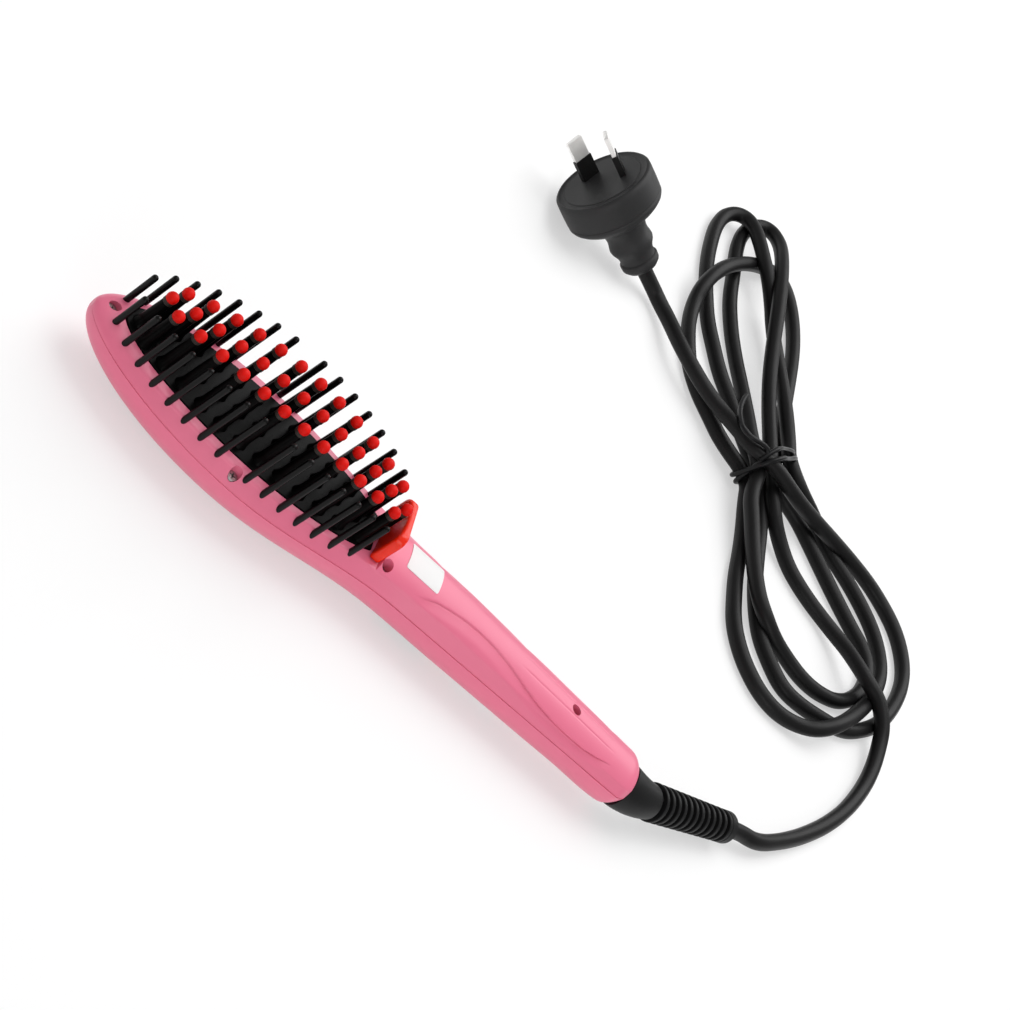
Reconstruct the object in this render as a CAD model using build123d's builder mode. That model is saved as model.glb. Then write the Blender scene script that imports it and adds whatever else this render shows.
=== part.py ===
from build123d import *
import os
from math import cos, pi, radians, sin, sqrt, tan

# Electric hot comb, millimetres, +Z up.
# It lies on its back with the teeth up, as it is put down on a table.
# X runs from the nose of the head to the cord end, Y across.
# The origin is on the table, under the middle of the pink housing.

os.makedirs("parts", exist_ok=True)

# ---------------------------------------------------------------- housing
body_length = 230.0
widest_at = 62.0          # from the nose to the widest place of the head
neck_at = 131.0           # from the nose to the start of the handle
grip_until = 150.0        # from the nose to where the handle begins to taper
head_half_width = 23.3
head_depth = 16.6         # seam down to the back of the head
head_rise = 9.2           # seam up to the crown that the tooth face cuts off
neck_half_width = 13.0
neck_depth = 13.2
neck_rise = 9.4
tail_half_width = 10.1
tail_depth = 12.0
tail_rise = 6.2
tail_round = 4.0          # rounding of the cord end
seam_z = 16.0             # plane in which the two shells meet
wall = 1.8
face_z = 21.3             # flat face that the teeth stand on
face_end = 114.2          # from the nose to the step behind the guard
face_overrun = 5.0        # how far the cut for the face runs past the nose

# ---------------------------------------------------------------- tooth field
field_at = 62.2           # from the nose to the middle of the tooth field
comb_half_length = 56.9   # ellipse that the black outer teeth stand on
comb_half_width = 19.4
plate_half_length = 53.6  # heated plate, an ellipse cut off at the neck
plate_half_width = 16.0
plate_end = 110.6
plate_proud = 0.3
plate_gap = 0.25
plate_edge_round = 0.25
flange_reach = 1.2
flange_thickness = 1.5
tooth_radius = 1.05
tooth_hole_gap = 0.08
tooth_count = 15          # on each side
tooth_gap_after = 8       # a wider gap for the middle housing screw
tooth_pitch = 6.85
tooth_screw_gap = 11.4
tooth_first = 7.4         # from the nose
tooth_height = 20.4       # above the tooth face, at the middle
tooth_sag = 8.3           # how much the end teeth are shorter
pin_pitch = 7.94
pin_outer_count = 12
pin_middle_count = 13
pin_outer_first = 17.2    # from the nose
pin_middle_first = 13.5
pin_side = 10.6           # outer pin rows, at the middle of the head
pin_side_sag = 4.7
pin_top = 20.2            # above the tooth face, at the middle
pin_sag = 7.0
pin_radius = 1.62
pin_foot_radius = 2.6
pin_foot_height = 3.6
pin_neck_radius = 1.1
pin_spigot = 1.4
cap_radius = 1.95
cap_length = 4.3
cap_wall = 1.5
fit_gap = 0.05
ring_reach_in = 2.2
ring_reach_out = 1.0
ring_z = 16.2
ring_thickness = 1.5
ring_end = 110.0
ring_gap = 0.3

# ---------------------------------------------------------------- neck guard
guard_half_width = 9.9
guard_thickness = 2.6
guard_hollow = 1.5        # how far its front face is hollowed
guard_height = 13.4
guard_corner = 3.2

# ---------------------------------------------------------------- fasteners
screw_head_radius = 1.75
screw_head_height = 1.5
screw_radius = 1.1
screw_recess_radius = 1.9
screw_hole_radius = 1.3
boss_radius = 3.1
nose_screw_at = 5.2
side_screw_at = 60.2
side_screw_y = 20.0
neck_screw_at = 116.6
neck_screw_y = 8.9
tail_screw_gap = 6.5      # from the circuit board's end to the screw in the handle
screw_depth = 3.2         # head top below the surface around it
screw_reach = 5.2         # thread below the seam

# ---------------------------------------------------------------- heater
film_thickness = 0.3
heater_thickness = 1.9
heater_length = 32.0
heater_width = 14.0
heater_spacing = 46.0
clamp_thickness = 1.0
clamp_length = 96.0
clamp_width = 12.0
clamp_pitch = 44.0
clamp_boss_radius = 2.4
fuse_radius = 1.8
fuse_length = 12.0
sensor_radius = 1.2
sensor_length = 5.0
lead_radius = 0.7

# ---------------------------------------------------------------- controls
panel_z = 4.3             # flat of the control panel on the back
panel_half_width = 7.6
board_start = 123.5
board_width = 17.0
board_z = 13.0
board_thickness = 1.4
window_width = 8.4
window_thickness = 1.5
window_gap = 0.1
display_height = 3.2
button_radius = 3.3
button_gap = 0.15
button_proud = 0.7
button_flange_radius = 4.0
button_flange = 1.0
button_stem_radius = 1.5
button_stem = 1.2
switch_side = 5.0
switch_height = 3.1
plunger_radius = 1.4
plunger_height = 0.8

# The controls share out the length of the handle.
board_length = 0.6385 * (body_length - board_start)
board_inset = 0.059 * board_length     # board screw from the board's end
panel_start = board_start - 1.0
panel_length = board_length - 2.0
window_length = 0.294 * board_length
window_at = board_start + 0.272 * board_length
first_button_at = board_start + 0.515 * board_length
button_pitch = 0.1544 * board_length

# ---------------------------------------------------------------- swivel and cord
swivel_z = 13.1
shaft_radius = 4.0
collar_radius = 5.6
collar_thickness = 2.5
collar_depth = 8.0        # from the cord end of the handle in to the collar
bush_radius = 6.9
bush_depth = 15.0         # from the cord end of the handle in to the bush's far end
bush_length = 12.9
bush_gap = 0.05
cradle_depth = 11.5
cradle_length = 7.0
sleeve_gap = 0.3
sleeve_base_radius = 8.0
sleeve_base_length = 14.0
sleeve_radius = 4.7
rib_radius = 6.6
rib_thickness = 1.5
rib_pitch = 3.6
rib_count = 12
rib_taper = 0.09          # each rib is this much smaller than the last
sleeve_collar_length = 3.2
cord_radius = 3.0
cord_floor = 0.1          # clearance of the cord above the table

nose = -body_length / 2
tail = body_length / 2
field_x = nose + field_at
roof_z = face_z - wall
collar_at = tail - collar_depth
bush_start = tail - bush_depth
bush_end = bush_start + bush_length
cradle_start = tail - cradle_depth
cradle_end = cradle_start + cradle_length
swivel_axis = Axis((0, 0, swivel_z), (1, 0, 0))


# ---------------------------------------------------------------- housing shape
def blend(start, end, at, first, last):
    """Smooth change from one value to another between two stations."""
    share = min(max((at - first) / (last - first), 0.0), 1.0)
    return end + (start - end) * (0.5 + 0.5 * cos(pi * share))


def slope(start, end, at, first, last):
    """Even change from one value to another between two stations."""
    share = min(max((at - first) / (last - first), 0.0), 1.0)
    return start + (end - start) * share


def section(at):
    """Half width, depth and rise of the housing at a distance from the nose."""
    share = max(0.0, (widest_at - at) / widest_at)
    bow = 1 - share ** 2
    width = blend(head_half_width, neck_half_width, at, widest_at, neck_at)
    depth = blend(head_depth, neck_depth, at, widest_at, neck_at)
    rise = blend(head_rise, neck_rise, at, widest_at, neck_at)
    width += slope(0, tail_half_width - neck_half_width, at, neck_at, body_length)
    depth += slope(0, tail_depth - neck_depth, at, grip_until, body_length)
    rise += slope(0, tail_rise - neck_rise, at, grip_until, body_length)
    end = max(0.0, (at - body_length + tail_round) / tail_round)
    close = 1 - 0.22 * end ** 2
    return (width * bow ** 0.555 * close, depth * bow ** 0.42 * close, rise * bow ** 0.42 * close)


def stations(first, last):
    """Places of the loft sections, close together at the ends."""
    nose_side = [first + (widest_at - first) * (1 - cos(pi / 2 * n / 9)) for n in range(10)]
    rear = [widest_at + (neck_at - widest_at) * n / 6 for n in range(1, 7)]
    grip = [neck_at + (last - tail_round - neck_at) * n / 6 for n in range(1, 7)]
    end = [last - tail_round * (1 - n / 4) for n in range(1, 5)]
    return nose_side + rear + grip + end


def half_section(at, inset, side):
    """Half ellipse of the housing above (+1) or below (-1) the seam."""
    width, depth, rise = section(at)
    height = rise if side > 0 else depth
    turn = 0 if side > 0 else 180
    with BuildSketch(Plane.YZ.offset(nose + at)) as profile:
        with BuildLine():
            EllipticalCenterArc((0, seam_z), width - inset, height - inset,
                                start_angle=turn, arc_size=180)
            Line((-(width - inset), seam_z), (width - inset, seam_z))
        make_face()
    return profile.sketch


def half_body(places, inset, side):
    """Closed half of the housing through its sections, drawn in by an inset."""
    return loft([half_section(at, inset, side) for at in places])


def field_ellipse(half_length, half_width, end, z):
    """Ellipse of the tooth field, cut off straight towards the neck."""
    with BuildSketch(Plane.XY.offset(z)) as outline:
        with Locations((field_x, 0)):
            Ellipse(half_length, half_width)
        with Locations((nose + end + body_length / 2, 0)):
            Rectangle(body_length, body_length, mode=Mode.SUBTRACT)
    return outline.sketch


nose_cut = 0.25
inner_start = 3.2
upper_body = half_body(stations(nose_cut, body_length), 0, 1)
lower_body = half_body(stations(nose_cut, body_length), 0, -1)
upper_room = half_body(stations(inner_start, body_length - wall), wall, 1)
lower_room = half_body(stations(inner_start, body_length - wall), wall, -1)

screw_places = [
    (nose + nose_screw_at, 0),
    (nose + side_screw_at, side_screw_y),
    (nose + side_screw_at, -side_screw_y),
    (nose + neck_screw_at, neck_screw_y),
    (nose + neck_screw_at, -neck_screw_y),
    (nose + board_start + board_length + tail_screw_gap, 0),
]


def surface_z(x, y):
    """Height of the housing's upper surface over a place."""
    width, depth, rise = section(x - nose)
    top = seam_z + rise * sqrt(max(0.0, 1 - (y / width) ** 2))
    return min(top, face_z) if x < nose + face_end else top


screw_seats = [surface_z(x, y) - screw_depth - screw_head_height for x, y in screw_places]
screw_seats = [max(seat, seam_z + 1.0) for seat in screw_seats]


def tooth_places():
    """Black teeth of one side, an even step apart along their ellipse."""
    def half_width_at(at):
        share = (at - field_at) / comb_half_length
        return comb_half_width * sqrt(max(0.0, 1 - share ** 2))

    places = [(tooth_first, half_width_at(tooth_first))]
    while len(places) < tooth_count:
        step = tooth_screw_gap if len(places) == tooth_gap_after else tooth_pitch
        at, side = places[-1]
        reach = at + 0.2
        while sqrt((reach - at) ** 2 + (half_width_at(reach) - side) ** 2) < step:
            reach += 0.02
        places.append((reach, half_width_at(reach)))
    return [(nose + at, side) for at, side in places]


teeth = tooth_places()


def arch(x):
    """Share by which the tooth tips fall away from the middle of the field."""
    return ((x - field_x) / comb_half_length) ** 2


def field_block(half_length, half_width, end, z, height):
    """Solid over the ellipse of the tooth field."""
    return extrude(field_ellipse(half_length, half_width, end, z), amount=height)


plate_opening = field_block(plate_half_length, plate_half_width, plate_end, seam_z, 2 * head_rise)

# Room inside the front shell: under the tooth face, round the screw pillars,
# with a solid cradle for the swivel bush.
with BuildPart() as front_room:
    add(upper_room)
    with BuildSketch(Plane.XY.offset(roof_z)):
        with Locations((nose + face_end / 2 + wall / 2 - face_overrun, 0)):
            Rectangle(face_end + wall + 2 * face_overrun, 4 * head_half_width)
    extrude(amount=2 * head_rise, mode=Mode.SUBTRACT)
    with BuildSketch(Plane.XY.offset(seam_z)):
        with Locations(*screw_places):
            Circle(boss_radius)
    extrude(amount=2 * head_rise, mode=Mode.SUBTRACT)
    with BuildSketch(Plane.YZ.offset(cradle_start)):
        with Locations((0, seam_z + tail_half_width)):
            Rectangle(4 * tail_half_width, 2 * tail_half_width)
    extrude(amount=cradle_end - cradle_start, mode=Mode.SUBTRACT)

# Front shell: pink moulding with the flat tooth face, the opening for the
# heated plate, a hole for each black tooth and six recessed screw seats.
with BuildPart() as front_shell:
    add(upper_body)
    with BuildSketch(Plane.XY.offset(face_z)):
        with Locations((nose + face_end / 2 - face_overrun, 0)):
            Rectangle(face_end + 2 * face_overrun, 4 * head_half_width)
    extrude(amount=2 * head_rise, mode=Mode.SUBTRACT)
    add(front_room.part, mode=Mode.SUBTRACT)
    add(plate_opening, mode=Mode.SUBTRACT)
    with BuildSketch(Plane.XY.offset(seam_z)):
        for x, y in teeth:
            with Locations((x, y), (x, -y)):
                Circle(tooth_radius + tooth_hole_gap)
    extrude(amount=2 * head_rise, mode=Mode.SUBTRACT)
    with BuildSketch(Plane.XY.offset(seam_z)):
        with Locations(*screw_places):
            Circle(screw_hole_radius)
    extrude(amount=2 * head_rise, mode=Mode.SUBTRACT)
    for place, seat in zip(screw_places, screw_seats):
        with BuildSketch(Plane.XY.offset(seat)):
            with Locations(place):
                Circle(screw_recess_radius)
        extrude(amount=2 * head_rise, mode=Mode.SUBTRACT)
    with BuildSketch(Plane.YZ.offset(bush_start)):
        with Locations((0, swivel_z)):
            Circle(bush_radius + fit_gap)
    extrude(amount=bush_end + fit_gap - bush_start, mode=Mode.SUBTRACT)
    with BuildSketch(Plane.YZ.offset(bush_start)):
        with Locations((0, swivel_z)):
            Circle(shaft_radius + sleeve_gap)
    extrude(amount=body_length, mode=Mode.SUBTRACT)
front_shell.part.label = "front_shell"
export_step(front_shell.part, "parts/front_shell.step")

# Back shell: pink moulding with the resting flat, the control panel, six
# screw pillars and two posts for the circuit board.
board_x = nose + board_start + board_length / 2
board_screws_x = [nose + board_start + board_inset, nose + board_start + board_length - board_inset]
panel_x = nose + panel_start + panel_length / 2
panel_inner_z = panel_z + wall
window_x = nose + window_at
button_x = [nose + first_button_at + button_pitch * n for n in range(3)]
post_radius = 2.2
board_screw_radius = 0.95
board_screw_reach = 4.5
with BuildPart() as back_room:
    add(lower_room)
    with BuildSketch(Plane.XY):
        with Locations(*screw_places):
            Circle(boss_radius)
    extrude(amount=seam_z, mode=Mode.SUBTRACT)
    with BuildSketch(Plane.XY):
        with Locations((panel_x, 0)):
            Rectangle(panel_length + 2 * wall, 2 * panel_half_width)
    extrude(amount=panel_inner_z, mode=Mode.SUBTRACT)
    with BuildSketch(Plane.XY):
        with Locations(*[(x, 0) for x in board_screws_x]):
            Circle(post_radius)
    extrude(amount=board_z, mode=Mode.SUBTRACT)
    with BuildSketch(Plane.YZ.offset(cradle_start)):
        with Locations((0, seam_z - head_depth)):
            Rectangle(4 * tail_half_width, 2 * head_depth)
    extrude(amount=cradle_end - cradle_start, mode=Mode.SUBTRACT)

with BuildPart() as back_shell:
    add(lower_body)
    add(back_room.part, mode=Mode.SUBTRACT)
    with BuildSketch(Plane.XY.offset(-head_depth)):
        Rectangle(2 * body_length, 4 * head_half_width)
    extrude(amount=head_depth, mode=Mode.SUBTRACT)
    with BuildSketch(Plane.XY.offset(-head_depth)):
        with Locations((panel_x, 0)):
            SlotOverall(panel_length, 2 * panel_half_width)
    extrude(amount=head_depth + panel_z, mode=Mode.SUBTRACT)
    with BuildSketch(Plane.XY):
        with Locations((window_x, 0)):
            Rectangle(window_length + 2 * window_gap, window_width + 2 * window_gap)
        with Locations(*[(x, 0) for x in button_x]):
            Circle(button_radius + button_gap)
    extrude(amount=panel_inner_z + 0.2, mode=Mode.SUBTRACT)
    with BuildSketch(Plane.XY.offset(seam_z)):
        with Locations(*screw_places):
            Circle(screw_radius + fit_gap)
    extrude(amount=-screw_reach - 0.4, mode=Mode.SUBTRACT)
    with BuildSketch(Plane.XY.offset(board_z)):
        with Locations(*[(x, 0) for x in board_screws_x]):
            Circle(board_screw_radius + fit_gap)
    extrude(amount=-board_screw_reach - 0.4, mode=Mode.SUBTRACT)
    with BuildSketch(Plane.YZ.offset(bush_start)):
        with Locations((0, swivel_z)):
            Circle(bush_radius + fit_gap)
    extrude(amount=bush_end + fit_gap - bush_start, mode=Mode.SUBTRACT)
    with BuildSketch(Plane.YZ.offset(bush_start)):
        with Locations((0, swivel_z)):
            Circle(shaft_radius + sleeve_gap)
    extrude(amount=body_length, mode=Mode.SUBTRACT)
back_shell.part.label = "back_shell"
export_step(back_shell.part, "parts/back_shell.step")

# Six self-tapping screws, put in from the tooth side.
with BuildPart() as housing_screws:
    for place, seat in zip(screw_places, screw_seats):
        with BuildSketch(Plane.XY.offset(seat)):
            with Locations(place):
                Circle(screw_head_radius)
        extrude(amount=screw_head_height)
        with BuildSketch(Plane.XY.offset(seam_z - screw_reach)):
            with Locations(place):
                Circle(screw_radius)
        extrude(amount=seat - seam_z + screw_reach)
        with BuildSketch(Plane.XY.offset(seat + screw_head_height)):
            with Locations(place):
                Rectangle(2.2, 0.5)
                Rectangle(0.5, 2.2)
        extrude(amount=-0.7, mode=Mode.SUBTRACT)
housing_screws.part.label = "housing_screws"
export_step(housing_screws.part, "parts/housing_screws.step")

# ---------------------------------------------------------------- heated comb
plate_z = face_z + plate_proud
flange_top = roof_z
flange_bottom = flange_top - flange_thickness
film_z = flange_bottom - film_thickness
heater_z = film_z - heater_thickness
clamp_z = heater_z - clamp_thickness
clamp_bosses_x = [field_x + clamp_pitch * n for n in (-1, 0, 1)]
heaters_x = [field_x - heater_spacing / 2, field_x + heater_spacing / 2]


def pin_row_side(x):
    """Distance of the outer pin rows from the middle line."""
    return pin_side - pin_side_sag * ((x - field_x) / (0.8 * plate_half_length)) ** 2


outer_pins_x = [nose + pin_outer_first + pin_pitch * n for n in range(pin_outer_count)]
middle_pins_x = [nose + pin_middle_first + pin_pitch * n for n in range(pin_middle_count)]
pins = [(x, side * pin_row_side(x)) for x in outer_pins_x for side in (1, -1)]
pins += [(x, 0) for x in middle_pins_x]

with BuildPart() as plate_block:
    add(field_block(plate_half_length - plate_gap, plate_half_width - plate_gap,
                    plate_end - plate_gap, flange_bottom, plate_z - flange_bottom))
    fillet(plate_block.faces().sort_by(Axis.Z)[-1].edges(), plate_edge_round)
flange_block = field_block(plate_half_length + flange_reach, plate_half_width + flange_reach,
                           plate_end + flange_reach, flange_bottom, flange_thickness)

# Heated plate: black coated aluminium, let into the tooth face from inside,
# with a flange under the face, three bosses and a hole for each pin.
with BuildPart() as heating_plate:
    add(flange_block)
    add(upper_room, mode=Mode.INTERSECT)
    with BuildSketch(Plane.XY.offset(seam_z)):
        with Locations(*screw_places):
            Circle(boss_radius + plate_gap)
    extrude(amount=head_rise, mode=Mode.SUBTRACT)
    add(plate_block.part)
    with BuildSketch(Plane.XY.offset(heater_z)):
        with Locations(*[(x, 0) for x in clamp_bosses_x]):
            Circle(clamp_boss_radius)
    extrude(amount=flange_bottom - heater_z)
    with BuildSketch(Plane.XY.offset(heater_z)):
        with Locations(*[(x, 0) for x in clamp_bosses_x]):
            Circle(board_screw_radius + fit_gap)
    extrude(amount=3.0, mode=Mode.SUBTRACT)
    with BuildSketch(Plane.XY.offset(plate_z)):
        with Locations(*pins):
            Circle(pin_neck_radius + fit_gap)
    extrude(amount=-pin_spigot - 0.2, mode=Mode.SUBTRACT)
heating_plate.part.label = "heating_plate"
export_step(heating_plate.part, "parts/heating_plate.step")


def cap_seat(x):
    """Height of the shoulder that a silicone cap sits on."""
    return face_z + pin_top - pin_sag * arch(x) - cap_length + cap_wall


# Heated pins: black aluminium, flared at the foot, with a spigot in the
# plate below and a thin neck for the silicone cap above.
with BuildPart() as heating_pins:
    for x, y in pins:
        shoulder = cap_seat(x)
        with BuildSketch(Plane.XZ.offset(-y)):
            with BuildLine():
                foot = (x + pin_foot_radius, plate_z)
                waist = (x + pin_radius + 0.25, plate_z + pin_foot_height)
                Polyline((x, plate_z - pin_spigot), (x + pin_neck_radius, plate_z - pin_spigot),
                         (x + pin_neck_radius, plate_z), foot)
                TangentArc(foot, waist, tangent=(-0.5, 1))
                Polyline(waist, (x + pin_radius, shoulder), (x + pin_neck_radius, shoulder),
                         (x + pin_neck_radius, shoulder + cap_length - cap_wall - 0.3),
                         (x, shoulder + cap_length - cap_wall - 0.3),
                         (x, plate_z - pin_spigot))
            make_face()
        revolve(axis=Axis((x, y, 0), (0, 0, 1)))
heating_pins.part.label = "heating_pins"
export_step(heating_pins.part, "parts/heating_pins.step")

# Silicone caps: soft red domes pushed over the pin necks.
with BuildPart() as silicone_caps:
    for x, y in pins:
        shoulder = cap_seat(x)
        top = shoulder + cap_length
        with BuildSketch(Plane.XZ.offset(-y)):
            with BuildLine():
                Polyline((x + pin_neck_radius + fit_gap, shoulder), (x + cap_radius, shoulder),
                         (x + cap_radius, top - cap_radius))
                JernArc((x + cap_radius, top - cap_radius), (0, 1), cap_radius, 90)
                Polyline((x, top), (x, top - cap_wall),
                         (x + pin_neck_radius + fit_gap, top - cap_wall),
                         (x + pin_neck_radius + fit_gap, shoulder))
            make_face()
        revolve(axis=Axis((x, y, 0), (0, 0, 1)))
silicone_caps.part.label = "silicone_caps"
export_step(silicone_caps.part, "parts/silicone_caps.step")

ring_top = ring_z + ring_thickness
ring_block = field_block(comb_half_length + ring_reach_out, comb_half_width + ring_reach_out,
                         ring_end, ring_z, ring_thickness)
ring_hole = field_block(comb_half_length - ring_reach_in, comb_half_width - ring_reach_in,
                        body_length, ring_z, ring_thickness)
ring_room = half_body(stations(inner_start + ring_gap, body_length - wall), wall + ring_gap, 1)

# Comb ring: black horseshoe under the tooth face that carries the outer teeth.
with BuildPart() as comb_ring:
    add(ring_block)
    add(ring_hole, mode=Mode.SUBTRACT)
    add(ring_room, mode=Mode.INTERSECT)
    with BuildSketch(Plane.XY.offset(seam_z)):
        with Locations(*screw_places):
            Circle(boss_radius + 0.3)
    extrude(amount=head_rise, mode=Mode.SUBTRACT)
comb_ring.part.label = "comb_ring"
export_step(comb_ring.part, "parts/comb_ring.step")

# Outer teeth: black nylon rods with rounded tips, fifteen on each side.
with BuildPart() as outer_bristles:
    for x, y in teeth:
        top = face_z + tooth_height - tooth_sag * arch(x)
        for side in (1, -1):
            with BuildSketch(Plane.XZ.offset(-side * y)):
                with BuildLine():
                    Polyline((x, ring_top), (x + tooth_radius, ring_top),
                             (x + tooth_radius, top - tooth_radius))
                    JernArc((x + tooth_radius, top - tooth_radius), (0, 1), tooth_radius, 90)
                    Line((x, top), (x, ring_top))
                make_face()
            revolve(axis=Axis((x, side * y, 0), (0, 0, 1)))
outer_bristles.part.label = "outer_bristles"
export_step(outer_bristles.part, "parts/outer_bristles.step")

# Neck guard: glossy red wall that keeps the hand off the hot pins.
guard_back = nose + face_end - 0.1
with BuildPart() as neck_guard:
    with BuildSketch(Plane.XY.offset(face_z)):
        with BuildLine():
            front_edge = guard_back - guard_thickness - guard_hollow
            ThreePointArc((front_edge, -guard_half_width), (front_edge + guard_hollow, 0),
                          (front_edge, guard_half_width))
            Polyline((front_edge, guard_half_width), (guard_back, guard_half_width),
                     (guard_back, -guard_half_width), (front_edge, -guard_half_width))
        make_face()
    extrude(amount=guard_height)
    fillet(neck_guard.edges().filter_by(Axis.X).group_by(Axis.Z)[-1], guard_corner)
    fillet(neck_guard.faces().sort_by(Axis.Z)[-1].edges(), 0.7)
neck_guard.part.label = "neck_guard"
export_step(neck_guard.part, "parts/neck_guard.step")

# Film, heaters, clamp and their screws, stacked under the plate.
with BuildPart() as insulating_film:
    with BuildSketch(Plane.XY.offset(film_z)):
        with Locations(*[(x, 0) for x in heaters_x]):
            RectangleRounded(heater_length + 4, heater_width + 3, 2)
    extrude(amount=film_thickness)
insulating_film.part.label = "insulating_film"
export_step(insulating_film.part, "parts/insulating_film.step")

with BuildPart() as heater_elements:
    with BuildSketch(Plane.XY.offset(heater_z)):
        with Locations(*[(x, 0) for x in heaters_x]):
            Rectangle(heater_length, heater_width)
    extrude(amount=heater_thickness)
heater_elements.part.label = "heater_elements"
export_step(heater_elements.part, "parts/heater_elements.step")

with BuildPart() as heater_clamp:
    with BuildSketch(Plane.XY.offset(clamp_z)):
        with Locations((field_x, 0)):
            RectangleRounded(clamp_length, clamp_width, 3)
        with Locations(*[(x, 0) for x in clamp_bosses_x]):
            Circle(board_screw_radius + 0.1, mode=Mode.SUBTRACT)
    extrude(amount=clamp_thickness)
heater_clamp.part.label = "heater_clamp"
export_step(heater_clamp.part, "parts/heater_clamp.step")

with BuildPart() as clamp_screws:
    for x in clamp_bosses_x:
        with BuildSketch(Plane.XY.offset(clamp_z)):
            with Locations((x, 0)):
                Circle(1.8)
        extrude(amount=-1.2)
        with BuildSketch(Plane.XY.offset(clamp_z)):
            with Locations((x, 0)):
                Circle(board_screw_radius)
        extrude(amount=clamp_thickness + 2.6)
clamp_screws.part.label = "clamp_screws"
export_step(clamp_screws.part, "parts/clamp_screws.step")

with BuildPart() as thermal_fuse:
    with BuildSketch(Plane.YZ.offset(field_x + 10)):
        with Locations((0, clamp_z - fuse_radius)):
            Circle(fuse_radius)
    extrude(amount=fuse_length)
thermal_fuse.part.label = "thermal_fuse"
export_step(thermal_fuse.part, "parts/thermal_fuse.step")

with BuildPart() as temperature_sensor:
    with BuildSketch(Plane.YZ.offset(field_x - sensor_length / 2)):
        with Locations((heater_width / 2 + 2.5, flange_bottom - sensor_radius)):
            Circle(sensor_radius)
    extrude(amount=sensor_length)
temperature_sensor.part.label = "temperature_sensor"
export_step(temperature_sensor.part, "parts/temperature_sensor.step")

# ---------------------------------------------------------------- control board
board_top = board_z + board_thickness
with BuildPart() as control_board:
    with BuildSketch(Plane.XY.offset(board_z)):
        with Locations((board_x, 0)):
            RectangleRounded(board_length, board_width, 1)
        with Locations(*[(x, 0) for x in board_screws_x]):
            Circle(board_screw_radius + 0.15, mode=Mode.SUBTRACT)
    extrude(amount=board_thickness)
    with BuildSketch(Plane.XY.offset(board_top)):
        with Locations((board_x - 12, 2)):
            Rectangle(8, 6)
        with Locations((board_x + 8, 0)):
            Rectangle(12, 9)
        with Locations((board_x + 20, -3)):
            Circle(2.5)
    extrude(amount=2.6)
control_board.part.label = "control_board"
export_step(control_board.part, "parts/control_board.step")

with BuildPart() as board_screws:
    for x in board_screws_x:
        with BuildSketch(Plane.XY.offset(board_top)):
            with Locations((x, 0)):
                Circle(1.8)
        extrude(amount=1.2)
        with BuildSketch(Plane.XY.offset(board_top)):
            with Locations((x, 0)):
                Circle(board_screw_radius)
        extrude(amount=-board_thickness - board_screw_reach)
board_screws.part.label = "board_screws"
export_step(board_screws.part, "parts/board_screws.step")

with BuildPart() as display_module:
    with BuildSketch(Plane.XY.offset(board_z - display_height)):
        with Locations((window_x, 0)):
            Rectangle(window_length - 1, window_width + 1)
    extrude(amount=display_height)
display_module.part.label = "display_module"
export_step(display_module.part, "parts/display_module.step")

with BuildPart() as display_window:
    with BuildSketch(Plane.XY.offset(panel_z + 0.2)):
        with Locations((window_x, 0)):
            Rectangle(window_length, window_width)
    extrude(amount=window_thickness)
    with BuildSketch(Plane.XY.offset(panel_inner_z)):
        with Locations((window_x, 0)):
            Rectangle(window_length + 2.0, window_width + 1.4)
    extrude(amount=0.8)
    with BuildSketch(Plane.XY.offset(panel_z + 0.2 + window_thickness)):
        with Locations((window_x, 0)):
            Rectangle(window_length, window_width)
    extrude(amount=panel_inner_z - panel_z - 0.2 - window_thickness)
display_window.part.label = "display_window"
export_step(display_window.part, "parts/display_window.step")

with BuildPart() as tactile_switches:
    with BuildSketch(Plane.XY.offset(board_z - switch_height)):
        with Locations(*[(x, 0) for x in button_x]):
            Rectangle(switch_side, switch_side)
    extrude(amount=switch_height)
    with BuildSketch(Plane.XY.offset(board_z - switch_height)):
        with Locations(*[(x, 0) for x in button_x]):
            Circle(plunger_radius)
    extrude(amount=-plunger_height)
tactile_switches.part.label = "tactile_switches"
export_step(tactile_switches.part, "parts/tactile_switches.step")


def make_button(x):
    """Push button: cap through the panel, flange inside it, stem to the switch."""
    flange_z = panel_inner_z + 0.1
    with BuildPart() as button:
        with BuildSketch(Plane.XY.offset(panel_z - button_proud)):
            with Locations((x, 0)):
                Circle(button_radius)
        extrude(amount=flange_z - panel_z + button_proud)
        fillet(button.faces().sort_by(Axis.Z)[0].edges(), 0.4)
        with BuildSketch(Plane.XY.offset(flange_z)):
            with Locations((x, 0)):
                Circle(button_flange_radius)
        extrude(amount=button_flange)
        with BuildSketch(Plane.XY.offset(flange_z + button_flange)):
            with Locations((x, 0)):
                Circle(button_stem_radius)
        extrude(amount=button_stem)
    return button.part


for button_name, x in zip(("power_button", "plus_button", "minus_button"), button_x):
    piece = make_button(x)
    piece.label = button_name
    export_step(piece, "parts/" + button_name + ".step")


# ---------------------------------------------------------------- wires
def rounded_tube(points, radius, bend_share=0.45):
    """Round tube along straight runs joined by tangent arcs."""
    ends = [Vector(*p) for p in points]
    radii = []
    for before, corner, after in zip(ends, ends[1:], ends[2:]):
        short = min((corner - before).length, (after - corner).length)
        turn = (corner - before).get_angle(after - corner)
        radii.append(bend_share * short / tan(radians(turn / 2)))
    start = Plane(ends[0], z_dir=ends[1] - ends[0])
    with BuildPart() as tube:
        with BuildLine() as path:
            FilletPolyline(*ends, radius=radii)
        with BuildSketch(start):
            Circle(radius)
        sweep(path=path.line)
    return tube.part, radii, path.wires()[0].length


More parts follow.
